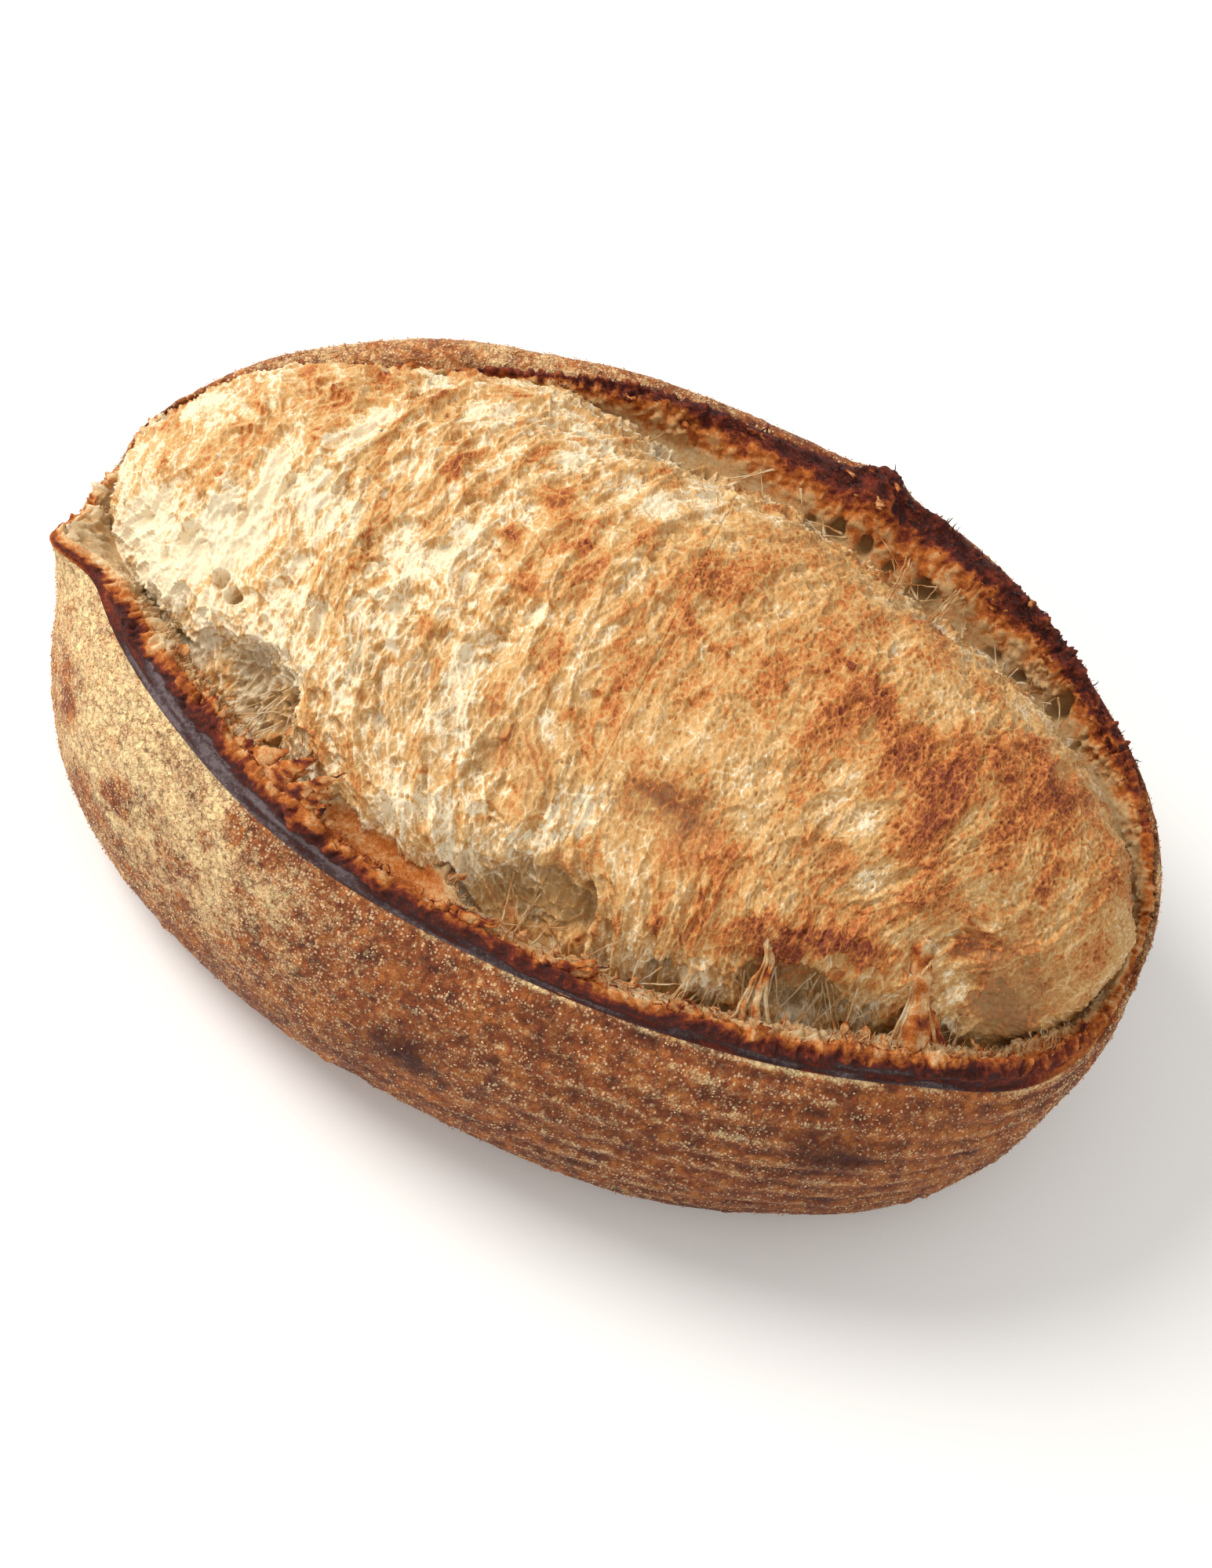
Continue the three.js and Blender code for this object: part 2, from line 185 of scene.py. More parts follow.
# Where the bloom browned, and two rows that darken it as painted shade: middle in plan, reach
# along and across, degrees the long way is turned from +X, and how brown.
BROWNED_AND_SHADED = [
    (-33, 18, 18, 9, -17, 0.26),
    (-78, 20, 32, 10, 43, 0.22),
    (-96, 1, 7, 3, 60, 0.20),
    (-60, 38, 22, 6, 15, 0.16),
    (2, 14, 13, 8, -15, 0.25),
    (35, 15, 1.5, 1.3, 0, 1.0),
    (42, 6, 15, 10, 0, 0.34),
    (62, -3, 14, 10, -20, 0.25),
    (84, 12, 22, 9, 28, 0.45),
    (14, -27, 7, 2.3, -10, 0.75),
    (52, -39, 17, 2.4, 18, 0.90),
    (-11, -25, 3.5, 3, 0, 0.30),
    (78, -19, 2.2, 2, 0, 0.40),
    (90, -6, 2, 2, 0, 0.40),
    (-60, -15, 3.5, 1.8, 75, 0.35),
    (-43, -20, 3, 3, 0, 0.40),
    (-54, 13, 3.5, 1.6, 20, 0.55),
    (-39, 8, 1.6, 1.6, 0, 0.70),
    (-23, 9, 3.5, 1.4, -10, 0.55),
    (5, 4, 5, 2, -15, 0.45),
    (-2, -13, 15, 9, 0, 0.14),
    (-13, -23, 2.2, 2.6, 0, 0.50),
    (-31, -4, 3, 1.8, 60, 0.45),
    (18, -33, 14, 8, 0, 0.34),
    (-16, -36, 13, 9, 0, 0.18),
    # Painted shade, not browning: darkens the recess at the right end.
    (97, -24, 16, 11, 0, 0.45),
    # Painted shade, not browning: darkens the cave under the near middle of the bloom.
    (2, -50, 10, 6, 0, 0.40),
    (64, 23, 18, 7, 0, 0.14),
    (-34, 4, 13, 11, 0, 0.26),
    (104, 4, 14, 4, 80, 0.35),
    (45, -3, 55, 32, 0, 0.14),
    (20, -48, 8, 4, 0, 0.20),
]

# Where it stayed pale, in the same terms.
PALE = [
    (-93, -16, 12, 9, 0, 0.80),
    (-83, -1, 7, 6, 0, 0.60),
    (-60, -17, 12, 9, 0, 0.20),
    (-34, -36, 22, 10, 8, 0.10),
    (-4, -40, 9, 6, 0, 0.32),
    (9, 31, 12, 7, 0, 0.24),
    (31, 37, 8, 5, 0, 0.20),
    (97, -24, 20, 9, 10, 0.06),
]

# Where painted shade darkens its hollows and films, in the same terms.
PAINTED_SHADE_PATCHES = [
    (-36, -34, 24, 11, 8, 0.40),
    (-46, -25, 17, 11, 10, 0.30),
    (15, -30, 13, 8, 0, 0.50),
    (-16, -36, 14, 7, 0, 0.34),
    (97, -27, 18, 11, 0, 0.75),
    (2, -50, 12, 6, 0, 0.35),
    (60, 34, 40, 8, -22, 0.15),
    (48, -25, 11, 6, 0, 0.30),
]

# The crumb's finer forms, each in layers, with sizes in millimetres across and along its flow.
# Gas cells: seed, size, depth, thread's share of a cell, and their strength where undrawn.
CELL_LAYERS = [
    (111, 8.0, 19.0, 1.3, 0.05, 0.15),
    (121, 4.2, 9.0, 0.5, 0.07, 0.35),
    (131, 2.2, 3.6, 0.16, 0.10, 0.9),
]
# Fibres: seed, slant across the flow, size, and the noise's value at a line's edge.
FIBRE_LAYERS = [
    (141, 0.10, 3.0, 26, 0.16),
    (142, -0.25, 4.0, 20, 0.11),
    (143, 0.45, 4.6, 17, 0.10),
    (144, -0.05, 1.7, 14, 0.20),
]
# Craters and scoops: seed, size, share of the cells that hold one, and depth.
CRATER_LAYERS = [(151, 5.2, 12.5, 0.28, 1.2), (161, 2.8, 5.6, 0.25, 0.6)]
SCOOP_LAYERS = [(301, 8.5, 12, 0.36, 2.0), (311, 5.0, 7.5, 0.3, 1.0)]

# Torn shards on the lip, each a tuft of spikes: degrees, then millimetres: width and thickness at
# the root, and how far the tip lies along the lip towards +X, in over the groove, and up. Last come
# the number of spikes and whether they stand on the crest (0) or on the torn edge behind it (1).
SHARDS = [
    (229, 7, 1.8, -3, 3, 3, 7, 0),
    (236.5, 9, 1.5, 2, 3.0, 3.0, 5, 0),
    (240.0, 10, 1.3, 6, 8, 11, 5, 0),
    (243.5, 8, 1.2, 10, 8, 13, 4, 0),
    (246.5, 8, 1.3, 3, 3, 4, 6, 0),
    (248, 7, 1.5, 2, 3, 4.5, 9, 1),
    (251.5, 8, 1.3, 2, 2.5, 3, 9, 1),
    (255.5, 7, 1.3, 2, 3, 3.5, 9, 1),
    (260.5, 8, 1.6, 3, 3, 3.5, 10, 1),
    (263.5, 6, 2.0, 13, 3, 3.5, 4, 0),
    (265, 5, 1.6, 9, 4, 2.5, 6, 0),
    (274, 5, 1.8, 10, 3, 5, 4, 0),
    (277, 5, 1.4, 5, 3, 2, 5, 0),
    (285.5, 3, 1.0, 2, 2.5, 3, 4, 0),
]

# Strands that still hold the bloom to the lip, each a bundle of fibres: degrees on the lip, spread
# of the feet and of the tops, thickness of a fibre, number of fibres, their end on the bloom, and
# how much browner they are than the crumb.
STRANDS = [
    (285.5, 3, 0.8, 0.5, 6, (34, -50.5, 70), 0.12),
    (294.0, 5, 0.8, 1.5, 4, (45, -44, 78), 0.18),
    (294.5, 10, 0.8, 0.6, 16, (45, -44, 78.5), 0.1),
    (317.0, 11, 1.2, 2.6, 10, (74, -30, 80), 0.22),
    (316.5, 15, 1.8, 0.8, 30, (74, -30, 80), 0.1),
    (320.0, 5, 2.0, 2.4, 5, (80, -36, 70), 0.25),
    (320.0, 7, 2.5, 0.8, 10, (80, -36, 70), 0.1),
    (63.5, 4, 1.0, 0.4, 7, (49, 41, 86), 0.12),
    (71, 2.5, 0.8, 0.35, 4, (39, 40, 89.5), 0.12),
]

# Where small teeth, hairs and threads gather on the lip: degrees from and to, and the share there.
TOOTH_SPOTS = [(215, 300, 0.55), (300, 348, 0.15), (32, 108, 0.30)]
HAIR_SPOTS = [(205, 345, 0.4), (240, 268, 0.12), (30, 115, 0.48)]
THREAD_SPOTS = [(284, 326, 0.45), (262, 282, 0.12), (228, 244, 0.13), (45, 100, 0.30)]

# Darkened blisters of the crust, and patches where flour stayed thick: middle, reach, strength.
BURNT_BLISTERS = [
    ((-11, -80, 39), (9, 6, 5), 0.8),
    ((76, -63, 47), (11, 6, 5), 0.8),
    ((35, -76, 45), (14, 6, 5), 0.25),
]
FLOURED = [
    ((-100, -42, 45), (24, 26, 26), 1.1),
    ((-117, -12, 50), (12, 20, 22), 1.1),
    ((-72, -60, 50), (26, 16, 22), 1.05),
    ((-40, -74, 40), (24, 10, 18), 0.25),
    ((100, -46, 36), (32, 24, 28), -0.25),
    ((-85, 45, 70), (30, 20, 14), 0.45),
    ((118, 16, 55), (10, 24, 16), 0.45),
    ((-40, 62, 76), (60, 14, 12), 0.5),
]

# Where the crust stayed golden, in the same terms.
GOLDEN = [
    ((102, -46, 34), (26, 22, 24), 0.6),
    ((-60, 58, 72), (60, 22, 20), 0.9),
    ((-112, -20, 40), (18, 30, 30), 0.5),
]

# Fineness of the surfaces.
AROUND = 1360
BASE_ROWS = 14
FOOT_ROWS = 44
SIDE_ROWS = 68
LIP_ROWS = (18, 24, 18, 4, 5)     # cut face, torn band, groove, and two hidden faces that close it
SLICES = 4
SLICE_SECTIONS = 227
OVER_STEPS = 420
UNDER_STEPS = 10
SHARD_RINGS, SHARD_SIDES = 16, 12
STRAND_RINGS, STRAND_SIDES = 20, 9
HAIR_RINGS, HAIR_SIDES = 6, 5

# View: where the camera looks, from how far, how steeply, how it is turned, and its lens.
VIEW_TARGET = (2.2, -6.3, 44)
VIEW_DISTANCE = 500
VIEW_ELEVATION = 60
VIEW_ROLL = 26.2
LENS = 53
SENSOR = 36

# Lights: name, direction from the target, distance and size in metres, watts, colour.
LIGHTS = [
    ("key_light", (-0.74, 0.1, 0.7), 1.3, 0.6, 15, (1, 0.975, 0.94)),
    ("fill_light", (0.1, -0.9, 0.6), 1.6, 1.2, 3, (1, 0.98, 0.96)),
]
SKY_COLOUR = (1, 0.985, 0.965, 1)
SKY_STRENGTH = 0.74
FLOOR_REACH = 3              # metres from the loaf to the floor's edges


# ---------------------------------------------------------------- numbers

def linear(code):
    """A linear colour from an sRGB hex code."""
    shades = [int(code[i:i + 2], 16) / 255 for i in (1, 3, 5)]
    return tuple(s / 12.92 if s <= 0.04045 else ((s + 0.055) / 1.055) ** 2.4 for s in shades)


def bell(distance):
    """A bell of height 1 at 0, which has fallen to 1/e at 1."""
    return np.exp(-np.square(distance))


def clamp(value):
    """A value held between 0 and 1."""
    return np.clip(value, 0, 1)


def rise(low, high, value):
    """0 below low and 1 above high, with the cubic ease 3t^2 - 2t^3 between."""
    t = clamp((value - low) / (high - low))
    return t * t * (3 - 2 * t)


def fall(low, high, value):
    """1 below low and 0 above high, eased in the same way."""
    return 1 - rise(low, high, value)


def signed_power(value, power):
    """A number to a power, keeping its sign."""
    return np.sign(value) * np.abs(value) ** power


def hashed(cells, seed):
    """Repeatable random numbers from 0 to 1, one for each whole cell: the cell's places are folded
    into one integer by multiplying and mixing its bits."""
    mixed = np.full(cells[0].shape, seed * 7919 + 17, dtype=np.uint32)
    for cell in cells:
        mixed ^= cell.astype(np.int64).astype(np.uint32)
        mixed *= np.uint32(0x9E3779B1)
        mixed ^= mixed >> np.uint32(15)
        mixed *= np.uint32(0x85EBCA6B)
        mixed ^= mixed >> np.uint32(13)
    return mixed / 2.0 ** 32


def noise(seed, *places, wrap=0):
    """Smooth noise from -1 to 1: a random number at each whole place, blended by a quintic ease.
    With wrap, the first place repeats after that many cells."""
    low = [np.floor(place) for place in places]
    part = [place - cell for place, cell in zip(places, low)]
    ease = [f * f * f * (f * (6 * f - 15) + 10) for f in part]
    total = 0
    for step in itertools.product((0, 1), repeat=len(places)):
        weight = 1
        for blend, side in zip(ease, step):
            weight = weight * (blend if side else 1 - blend)
        cells = [cell + side for cell, side in zip(low, step)]
        if wrap:
            cells[0] = cells[0] % wrap
        total = total + weight * hashed(cells, seed)
    return 2 * total - 1


def cell_noise(seed, *places, wrap=0):
    """Of points scattered one to a cell: the distances to the nearest and to the second nearest,
    and the nearest one's own random number."""
    low = [np.floor(place) for place in places]
    nearest = np.full(low[0].shape, 9.0)
    second = nearest.copy()
    own = np.zeros(low[0].shape)
    for step in itertools.product((-1, 0, 1), repeat=len(places)):
        cells = [cell + side for cell, side in zip(low, step)]
        keys = [cells[0] % wrap, *cells[1:]] if wrap else cells
        squared = 0
        for axis, (place, cell) in enumerate(zip(places, cells)):
            squared = squared + np.square(place - cell - hashed(keys, seed + 1 + axis))
        distance = np.sqrt(squared)
        closer = distance < nearest
        second = np.where(closer, nearest, np.minimum(second, distance))
        own = np.where(closer, hashed(keys, seed), own)
        nearest = np.minimum(nearest, distance)
    return nearest, second, own


def split(points):
    """The X, Y and Z of points, as three arrays."""
    return np.moveaxis(points, -1, 0)


def place_noise(seed, points, size):
    """Noise in space, with features of a size in millimetres."""
    return noise(seed, *split(points / size))


def layered(points, *layers):
    """A sum of noise in space, from layers of seed, size in millimetres and strength."""
    return sum(strength * place_noise(seed, points, size) for seed, size, strength in layers)


def round_noise(seed, turns, size, *others):
    """Noise round the loaf that meets itself: features of a size in millimetres along the lip."""
    count = round(PERIMETER / size)
    return noise(seed, turns * count, *others, wrap=count)


def ridges(value):
    """Sharp ridges from noise: 1 where it crosses 0, falling off to both sides."""
    return 1 - np.abs(value)


def lines(value, share):
    """Thin lines from noise: 1 where it crosses 0, falling to 0 where it is share away from it."""
    return clamp(1 - np.abs(value) / share)


def unit(vectors):
    """Vectors of the same directions with a length of 1."""
    return vectors / np.maximum(np.linalg.norm(vectors, axis=-1, keepdims=True), 1e-9)


def normals(points, wraps):
    """Unit normals of a grid of points, from the differences along its two ways."""
    if wraps:
        other = np.roll(points, -1, axis=1) - np.roll(points, 1, axis=1)
    else:
        other = np.gradient(points, axis=1)
    return unit(np.cross(other, np.gradient(points, axis=0)))


def lengths(points, axis):
    """Distance walked over a grid of points along one of its ways, from 0."""
    steps = np.linalg.norm(np.diff(points, axis=axis), axis=-1)
    walked = np.cumsum(steps, axis=axis)
    start = np.zeros_like(np.take(walked, [0], axis=axis))
    return np.concatenate([start, walked], axis=axis)


def reaches(points, at, reach):
    """Distance of points from a middle, counted in a reach along X, Y and Z."""
    return np.linalg.norm((points - at) / reach, axis=-1)


def blobs(spots, points):
    """The sum of bells in space, each with its middle, reach and height."""
    return sum(height * bell(reaches(points, at, reach)) for at, reach, height in spots)


def patches(spots, x, y):
    """The sum of turned elliptical bells in plan."""
    total = 0
    for at_x, at_y, long, short, degrees, strength in spots:
        c, s = math.cos(math.radians(degrees)), math.sin(math.radians(degrees))
        dx, dy = x - at_x, y - at_y
        far = np.hypot((dx * c + dy * s) / long, (dy * c - dx * s) / short)
        total = total + strength * bell(far)
    return total


def hollows(spots, points, ragged, floor, rim):
    """How far points lie in steep-walled hollows (0 to 1), and how deep those are there. Distances
    are counted in a hollow's reach and made ragged; its floor ends at `floor`, its wall at `rim`."""
    within, depth = 0, 0
    for at, reach, deep in spots:
        bowl = fall(floor, rim, reaches(points, at, reach) + ragged)
        within = np.maximum(within, bowl)
        depth = np.maximum(depth, deep * bowl)
    return within, depth


# ---------------------------------------------------------------- the loaf's form

def around(knots, angle):
    """A smooth closed run of values through equally spaced knots (Catmull-Rom), at angles."""
    knots = np.asarray(knots, float)
    place = angle / TURN * len(knots)
    at = np.floor(place).astype(int)
    f = place - at
    a, b, c, d = (knots[(at + step) % len(knots)] for step in (-1, 0, 1, 2))
    return b + 0.5 * f * (c - a + f * (2 * a - 5 * b + 4 * c - d + f * (3 * (b - c) + d - a)))


def lip(name, angle):
    return around(LIP[name], angle)


def turned_bell(angle, at, spread):
    """A bell round an angle in degrees, the shorter way about."""
    apart = np.abs(np.mod(angle - math.radians(at) + math.pi, TURN) - math.pi)
    return bell(apart / math.radians(spread))


def peaks(angle):
    """How far the lip's peaks stand out and up at angles."""
    return [sum(peak[way] * turned_bell(angle, *peak[:2]) for peak in LIP_PEAKS) for way in (2, 3)]


def ripple(angle):
    return sum(size * np.sin(count * angle + count) for count, size in LIP_WAVES)


def outward(angle):
    """The outward direction of the widest outline at angles: a superellipse's normal."""
    turn = 2 - 2 / OUTLINE_POWER
    x = signed_power(np.cos(angle), turn) / HALF_LENGTH
    y = signed_power(np.sin(angle), turn) / HALF_WIDTH
    return unit(np.stack([x, y, 0 * x], axis=-1))


def inside(angle, inset, height):
    """Points that lie so far inside the widest outline, at a height."""
    x = HALF_LENGTH * signed_power(np.cos(angle), 2 / OUTLINE_POWER)
    y = HALF_WIDTH * signed_power(np.sin(angle), 2 / OUTLINE_POWER)
    points = np.stack(np.broadcast_arrays(x, y, height), axis=-1)
    return points - outward(angle) * np.asarray(inset)[..., None]


def wall(angle, climb):
    """The crust's side: climb 0 to 1 is a quarter ellipse from the base's edge to the belly, and
    1 to 2 an arc of `turn` degrees from the belly to the lip's outer edge."""
    out, up = peaks(angle)
    lean = lip("inset", angle) - out
    top = lip("height", angle) + up - BELLY_HEIGHT
    full = np.radians(lip("turn", angle))
    low = clamp(climb) * math.pi / 2
    high = clamp(climb - 1) * full
    inset = BASE_INSET * (1 - np.sin(low)) + lean * (1 - np.cos(high)) / (1 - np.cos(full))
    return inside(angle, inset, BELLY_HEIGHT * (1 - np.cos(low)) + top * np.sin(high) / np.sin(full))


def crest(angle):
    """The lip's torn upper edge, one cut face above and inside its outer edge."""
    out, up = peaks(angle)
    cut = CUT_SLOPE * lip("cut", angle)
    height = lip("height", angle) + up + cut + ripple(angle)
    return inside(angle, lip("inset", angle) - out + cut, height)


def shelf(angle):
    return sum(reach * turned_bell(angle, at, spread) for at, spread, reach in SHELVES)


def torn_edge(angle):
    """The inner edge of the torn band behind the crest, which shelves carry over the groove."""
    run = RAGGED_RUN * lip("wide", angle) + shelf(angle)
    points = crest(angle) - outward(angle) * run[..., None]
    points[..., 2] -= RAGGED_DROP * lip("deep", angle) + 2 * ripple(angle)
    return points


def groove(angle):
    cut = CUT_SLOPE * lip("cut", angle)
    inset = lip("inset", angle) + cut + lip("wide", angle)
    return inside(angle, inset, lip("height", angle) + cut - lip("deep", angle))


def arch(along, over):
    """The bloom without its relief: a loft from the near groove (over = 0) to the far one (pi),
    lifted by a power of the sine of over; along runs from the right end (0) to the left (pi)."""
    near, far = groove(TURN - along), groove(along)
    share = (1 - np.cos(over)) / 2
    points = near * (1 - share)[..., None] + far * share[..., None]
    fullness = clamp(np.sin(along)) ** END_POWER
    middle = (near[..., 2] + far[..., 2]) / 2
    height = np.maximum(TOP_HEIGHT - CROWN_DROP - middle + ROOT_DEPTH, 0) * fullness + END_RISE
    right, left = FAR_POWER
    far_power = right + (left - right) * (1 - np.cos(along)) / 2
    power = NEAR_POWER + (far_power - NEAR_POWER) * share
    points[..., 2] += height * clamp(np.sin(over)) ** power - ROOT_DEPTH
    return points


def normal_of_arch(along, over):
    """The arch's outward normal at loose places, from small steps both ways."""
    step = 0.01
    length = arch(along + step, over) - arch(along - step, over)
    width = arch(along, over + step) - arch(along, over - step)
    return unit(np.cross(width, length))


def caves(points):
    return hollows(CAVES, points, layered(points, (91, 4, 0.12), (92, 1.8, 0.07)), 0.62, 1.0)


def open_cells(points):
    """The single open gas cells, twice as far in height as across."""
    cells = [(at, (along, across, 2 * across), deep) for at, along, across, deep in OPEN_CELLS]
    return hollows(cells, points, layered(points, (93, 1.6, 0.2), (94, 3, 0.25)), 0.6, 1.15)


# ---------------------------------------------------------------- meshes

def link(name, data):
    """A new object in the scene."""
    made = bpy.data.objects.new(name, data)
    bpy.context.scene.collection.objects.link(made)
    return made


def skin(name, rings, ends, material, marks, shown=None):
    """One mesh of closed skins. rings is an array (skins, rings, points round, 3) in millimetres,
    each ring running right-handed about the way to the next. ends (skins, 2, 3) closes each skin
    with fans to a first and a last point; without it the last ring joins the first. marks are
    values at the rings' points, kept as attributes. Of each skin the first `shown` runs of faces
    are shaded smooth and the hidden ones, as the fans, stay flat, so that they don't bend the
    shading at a seam."""
    skins, count, size = rings.shape[:3]
    ring = np.arange(count if ends is None else count - 1)[:, None]
    i = np.arange(size)

    def corner(row, step):
        return row % count * size + step % size

    quads = np.stack([corner(ring, i), corner(ring, i + 1), corner(ring + 1, i + 1),
                      corner(ring + 1, i)], axis=-1).reshape(-1, 4)
    points = rings.reshape(skins, count * size, 3)
    fans = np.empty((0, 3), int)
    if ends is not None:
        points = np.concatenate([points, ends], axis=1)
        first, last = np.full(size, count * size), np.full(size, count * size + 1)
        bottom = np.stack([first, corner(0, i + 1), corner(0, i)], axis=-1)
        top = np.stack([last, corner(count - 1, i), corner(count - 1, i + 1)], axis=-1)
        fans = np.concatenate([bottom, top])
    shift = points.shape[1] * np.arange(skins)[:, None, None]
    corners = np.concatenate([(quads + shift).ravel(), (fans + shift).ravel()])
    sides = np.repeat([4, 3], [skins * len(quads), skins * len(fans)])
    mesh = bpy.data.meshes.new(name)
    mesh.vertices.add(skins * points.shape[1])
    mesh.vertices.foreach_set("co", (points * MM).astype(np.float32).ravel())
    mesh.loops.add(len(corners))
    mesh.loops.foreach_set("vertex_index", corners.astype(np.int32))
    mesh.polygons.add(len(sides))
    mesh.polygons.foreach_set("loop_start", (np.cumsum(sides) - sides).astype(np.int32))
    flat = np.zeros(len(sides), bool)
    if shown is not None:
        flat[:skins * len(quads)] = np.tile(np.arange(len(quads)) >= shown * size, skins)
        flat[skins * len(quads):] = True
    mesh.polygons.foreach_set("use_smooth", ~flat)
    mesh.update(calc_edges=True)
    for mark, values in marks.items():
        values = values.reshape(skins, count * size)
        if ends is not None:
            tips = np.stack([values[:, :size].mean(1), values[:, -size:].mean(1)], axis=1)
            values = np.concatenate([values, tips], axis=1)
        attribute = mesh.attributes.new(mark, "FLOAT", "POINT")
        attribute.data.foreach_set("value", values.astype(np.float32).ravel())
    mesh.materials.append(material)
    return link(name, mesh)


def build(name, slot, material, rings, ends, marks, shown=None):
    """Makes a piece, parents it to the body's empty and hides the loaf's CAD part. The slot, which
    names its finish, is not used."""
    piece = skin(name, rings, ends, material, marks, shown)
    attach(piece, BODY)
    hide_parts(NODE)


# ---------------------------------------------------------------- materials

def node(tree, kind, inputs=(), stops=(), out=0, **named):
    """Adds a node of a kind to a tree and gives one of its outputs. A value or a link for an input
    comes by the input's number, in a row from 0 on or in a dict, or by its name, in a keyword with
    a capital and _ for a space. Other keywords are settings, and stops lays out a colour ramp."""
    made = tree.nodes.new("ShaderNode" + kind)
    inputs = dict(inputs if isinstance(inputs, dict) else enumerate(inputs))
    for key, value in named.items():
        if key[0].isupper():
            inputs[key.replace("_", " ")] = value
        else:
            setattr(made, key, value)
    for key, value in inputs.items():
        socket = made.inputs[key]
        if isinstance(value, bpy.types.NodeSocket):
            tree.links.new(value, socket)
        else:
            socket.default_value = (*value, 1) if socket.type == "RGBA" else value
    for i, (place, colour) in enumerate(stops):
        elements = made.color_ramp.elements
        element = elements[i] if i < len(elements) else elements.new(place)
        element.position = place
        element.color = (*colour, 1)
    return made.outputs[out] if made.outputs else None


def scale_of(size):
    """A texture's scale for features of a size in millimetres, on coordinates in metres."""
    return 1 / (size * MM)


def new_material(name):
    """An empty node material, and the function that adds a node to it."""
    material = bpy.data.materials.new(name)
    material.use_nodes = True
    material.node_tree.nodes.clear()
    return material, functools.partial(node, material.node_tree)


# In the materials, the row of a MapRange is its value, the range that this comes from and the range
# that it goes to. Inputs 0, 6 and 7 of a Mix of colours are its share and the two colours.

@functools.cache
def baked_crust():
    """Baked crust: browned dough that is matte and slightly uneven in gloss, golden where it is
    thin and reddish brown where it took more heat, with flour dust and pale semolina pressed in.
    Flour hides the brown in patches, and the blisters are burnt dark."""
    colours = bpy.context.scene.loaf_colours
    material, add = new_material("baked_crust")
    place = add("TexCoord", out="Object")
    flour, burn, golden = (add("Attribute", attribute_name=mark, out="Fac")
                           for mark in ("flour", "burn", "golden"))
    mottle = add("TexNoise", Vector=place, Scale=scale_of(4.5), Detail=6, Roughness=0.72)
    heated = add("Math", (golden, 0.14, mottle), operation="MULTIPLY_ADD")
    tone = add("ValToRGB", (heated,), stops=[
        (0.36, colours.crust_dark), (0.49, colours.crust_brown), (0.62, colours.crust_gold)])

    # Flour lies in specks finer than 0.5 mm; drawn about 0.9 mm wide so that they show.
    specks = add("TexNoise", Vector=place, Scale=scale_of(1.8), Detail=6, Roughness=0.9)
    dust = add("Math", (flour, 0.22, specks), operation="MULTIPLY_ADD")
    dust = add("MapRange", (dust, 0.56, 0.78, 0, 0.95))

    # Grains of semolina are about half a millimetre; drawn in cells of 0.7 mm so that they show.
    # A cell holds a grain if its own random number lies under the share of grains wanted there.
    own_colour = add("TexVoronoi", Vector=place, Scale=scale_of(0.7), Randomness=1, out="Color")
    own = add("SeparateColor", (own_colour,))
    clumps = add("TexNoise", Vector=place, Scale=scale_of(3), Detail=3, Roughness=0.7)
    wanted = add("MapRange", (clumps, 0.35, 0.7, 0.02, 0.6))
    wanted = add("Math", (flour, 0.6, wanted), operation="MULTIPLY_ADD")
    held = add("Math", (wanted, own), operation="SUBTRACT")
    held = add("MapRange", (held, 0, 0.15, 0, 0.82))
    disc = add("MapRange", (own_colour.node.outputs["Distance"], 0.56, 0.36))
    grain = add("Math", (held, disc), operation="MULTIPLY")

    flecks = add("TexNoise", Vector=place, Scale=scale_of(1.3), Detail=4, Roughness=0.7)
    dark = add("MapRange", (flecks, 0.55, 0.66, 0, 0.7))

    # Wrinkles of the baked skin show brown through the flour, in crooked lines round 2 mm cells.
    push = add("TexNoise", Vector=place, Scale=scale_of(1.5), Detail=2, out="Color")
    crooked = add("VectorMath", (push, (1.6 * MM, 1.6 * MM, 1.6 * MM), place),
                  operation="MULTIPLY_ADD")
    edge = add("TexVoronoi", Vector=crooked, Scale=scale_of(2), Randomness=1,
               feature="DISTANCE_TO_EDGE")
    wrinkle = add("Math", (add("MapRange", (edge, 0.02, 0.15, 0.6, 0)),
                           add("MapRange", (clumps, 0.62, 0.42))), operation="MULTIPLY")

    # The burn mark darkens towards dark char: burnt blisters and bare patches, and painted shade low on
    # the right end.
    for share, colour in ((dust, colours.flour), (grain, colours.semolina), (dark, colours.fleck),
                          (wrinkle, colours.fleck), (burn, colours.char_brown)):
        tone = add("Mix", {0: share, 6: tone, 7: colour}, data_type="RGBA", out=2)
    raised = add("Math", (grain, wrinkle), operation="SUBTRACT")
    height = add("Math", (raised, 0.5, flecks), operation="MULTIPLY_ADD")
    bump = add("Bump", Height=height, Strength=0.9, Distance=0.45 * MM)
    shader = add("BsdfPrincipled", Base_Color=tone, Normal=bump, IOR=1.35,
                 Roughness=add("MapRange", (mottle, 0.3, 0.7, 0.6, 0.82)))
    add("OutputMaterial", (shader,))
    return material


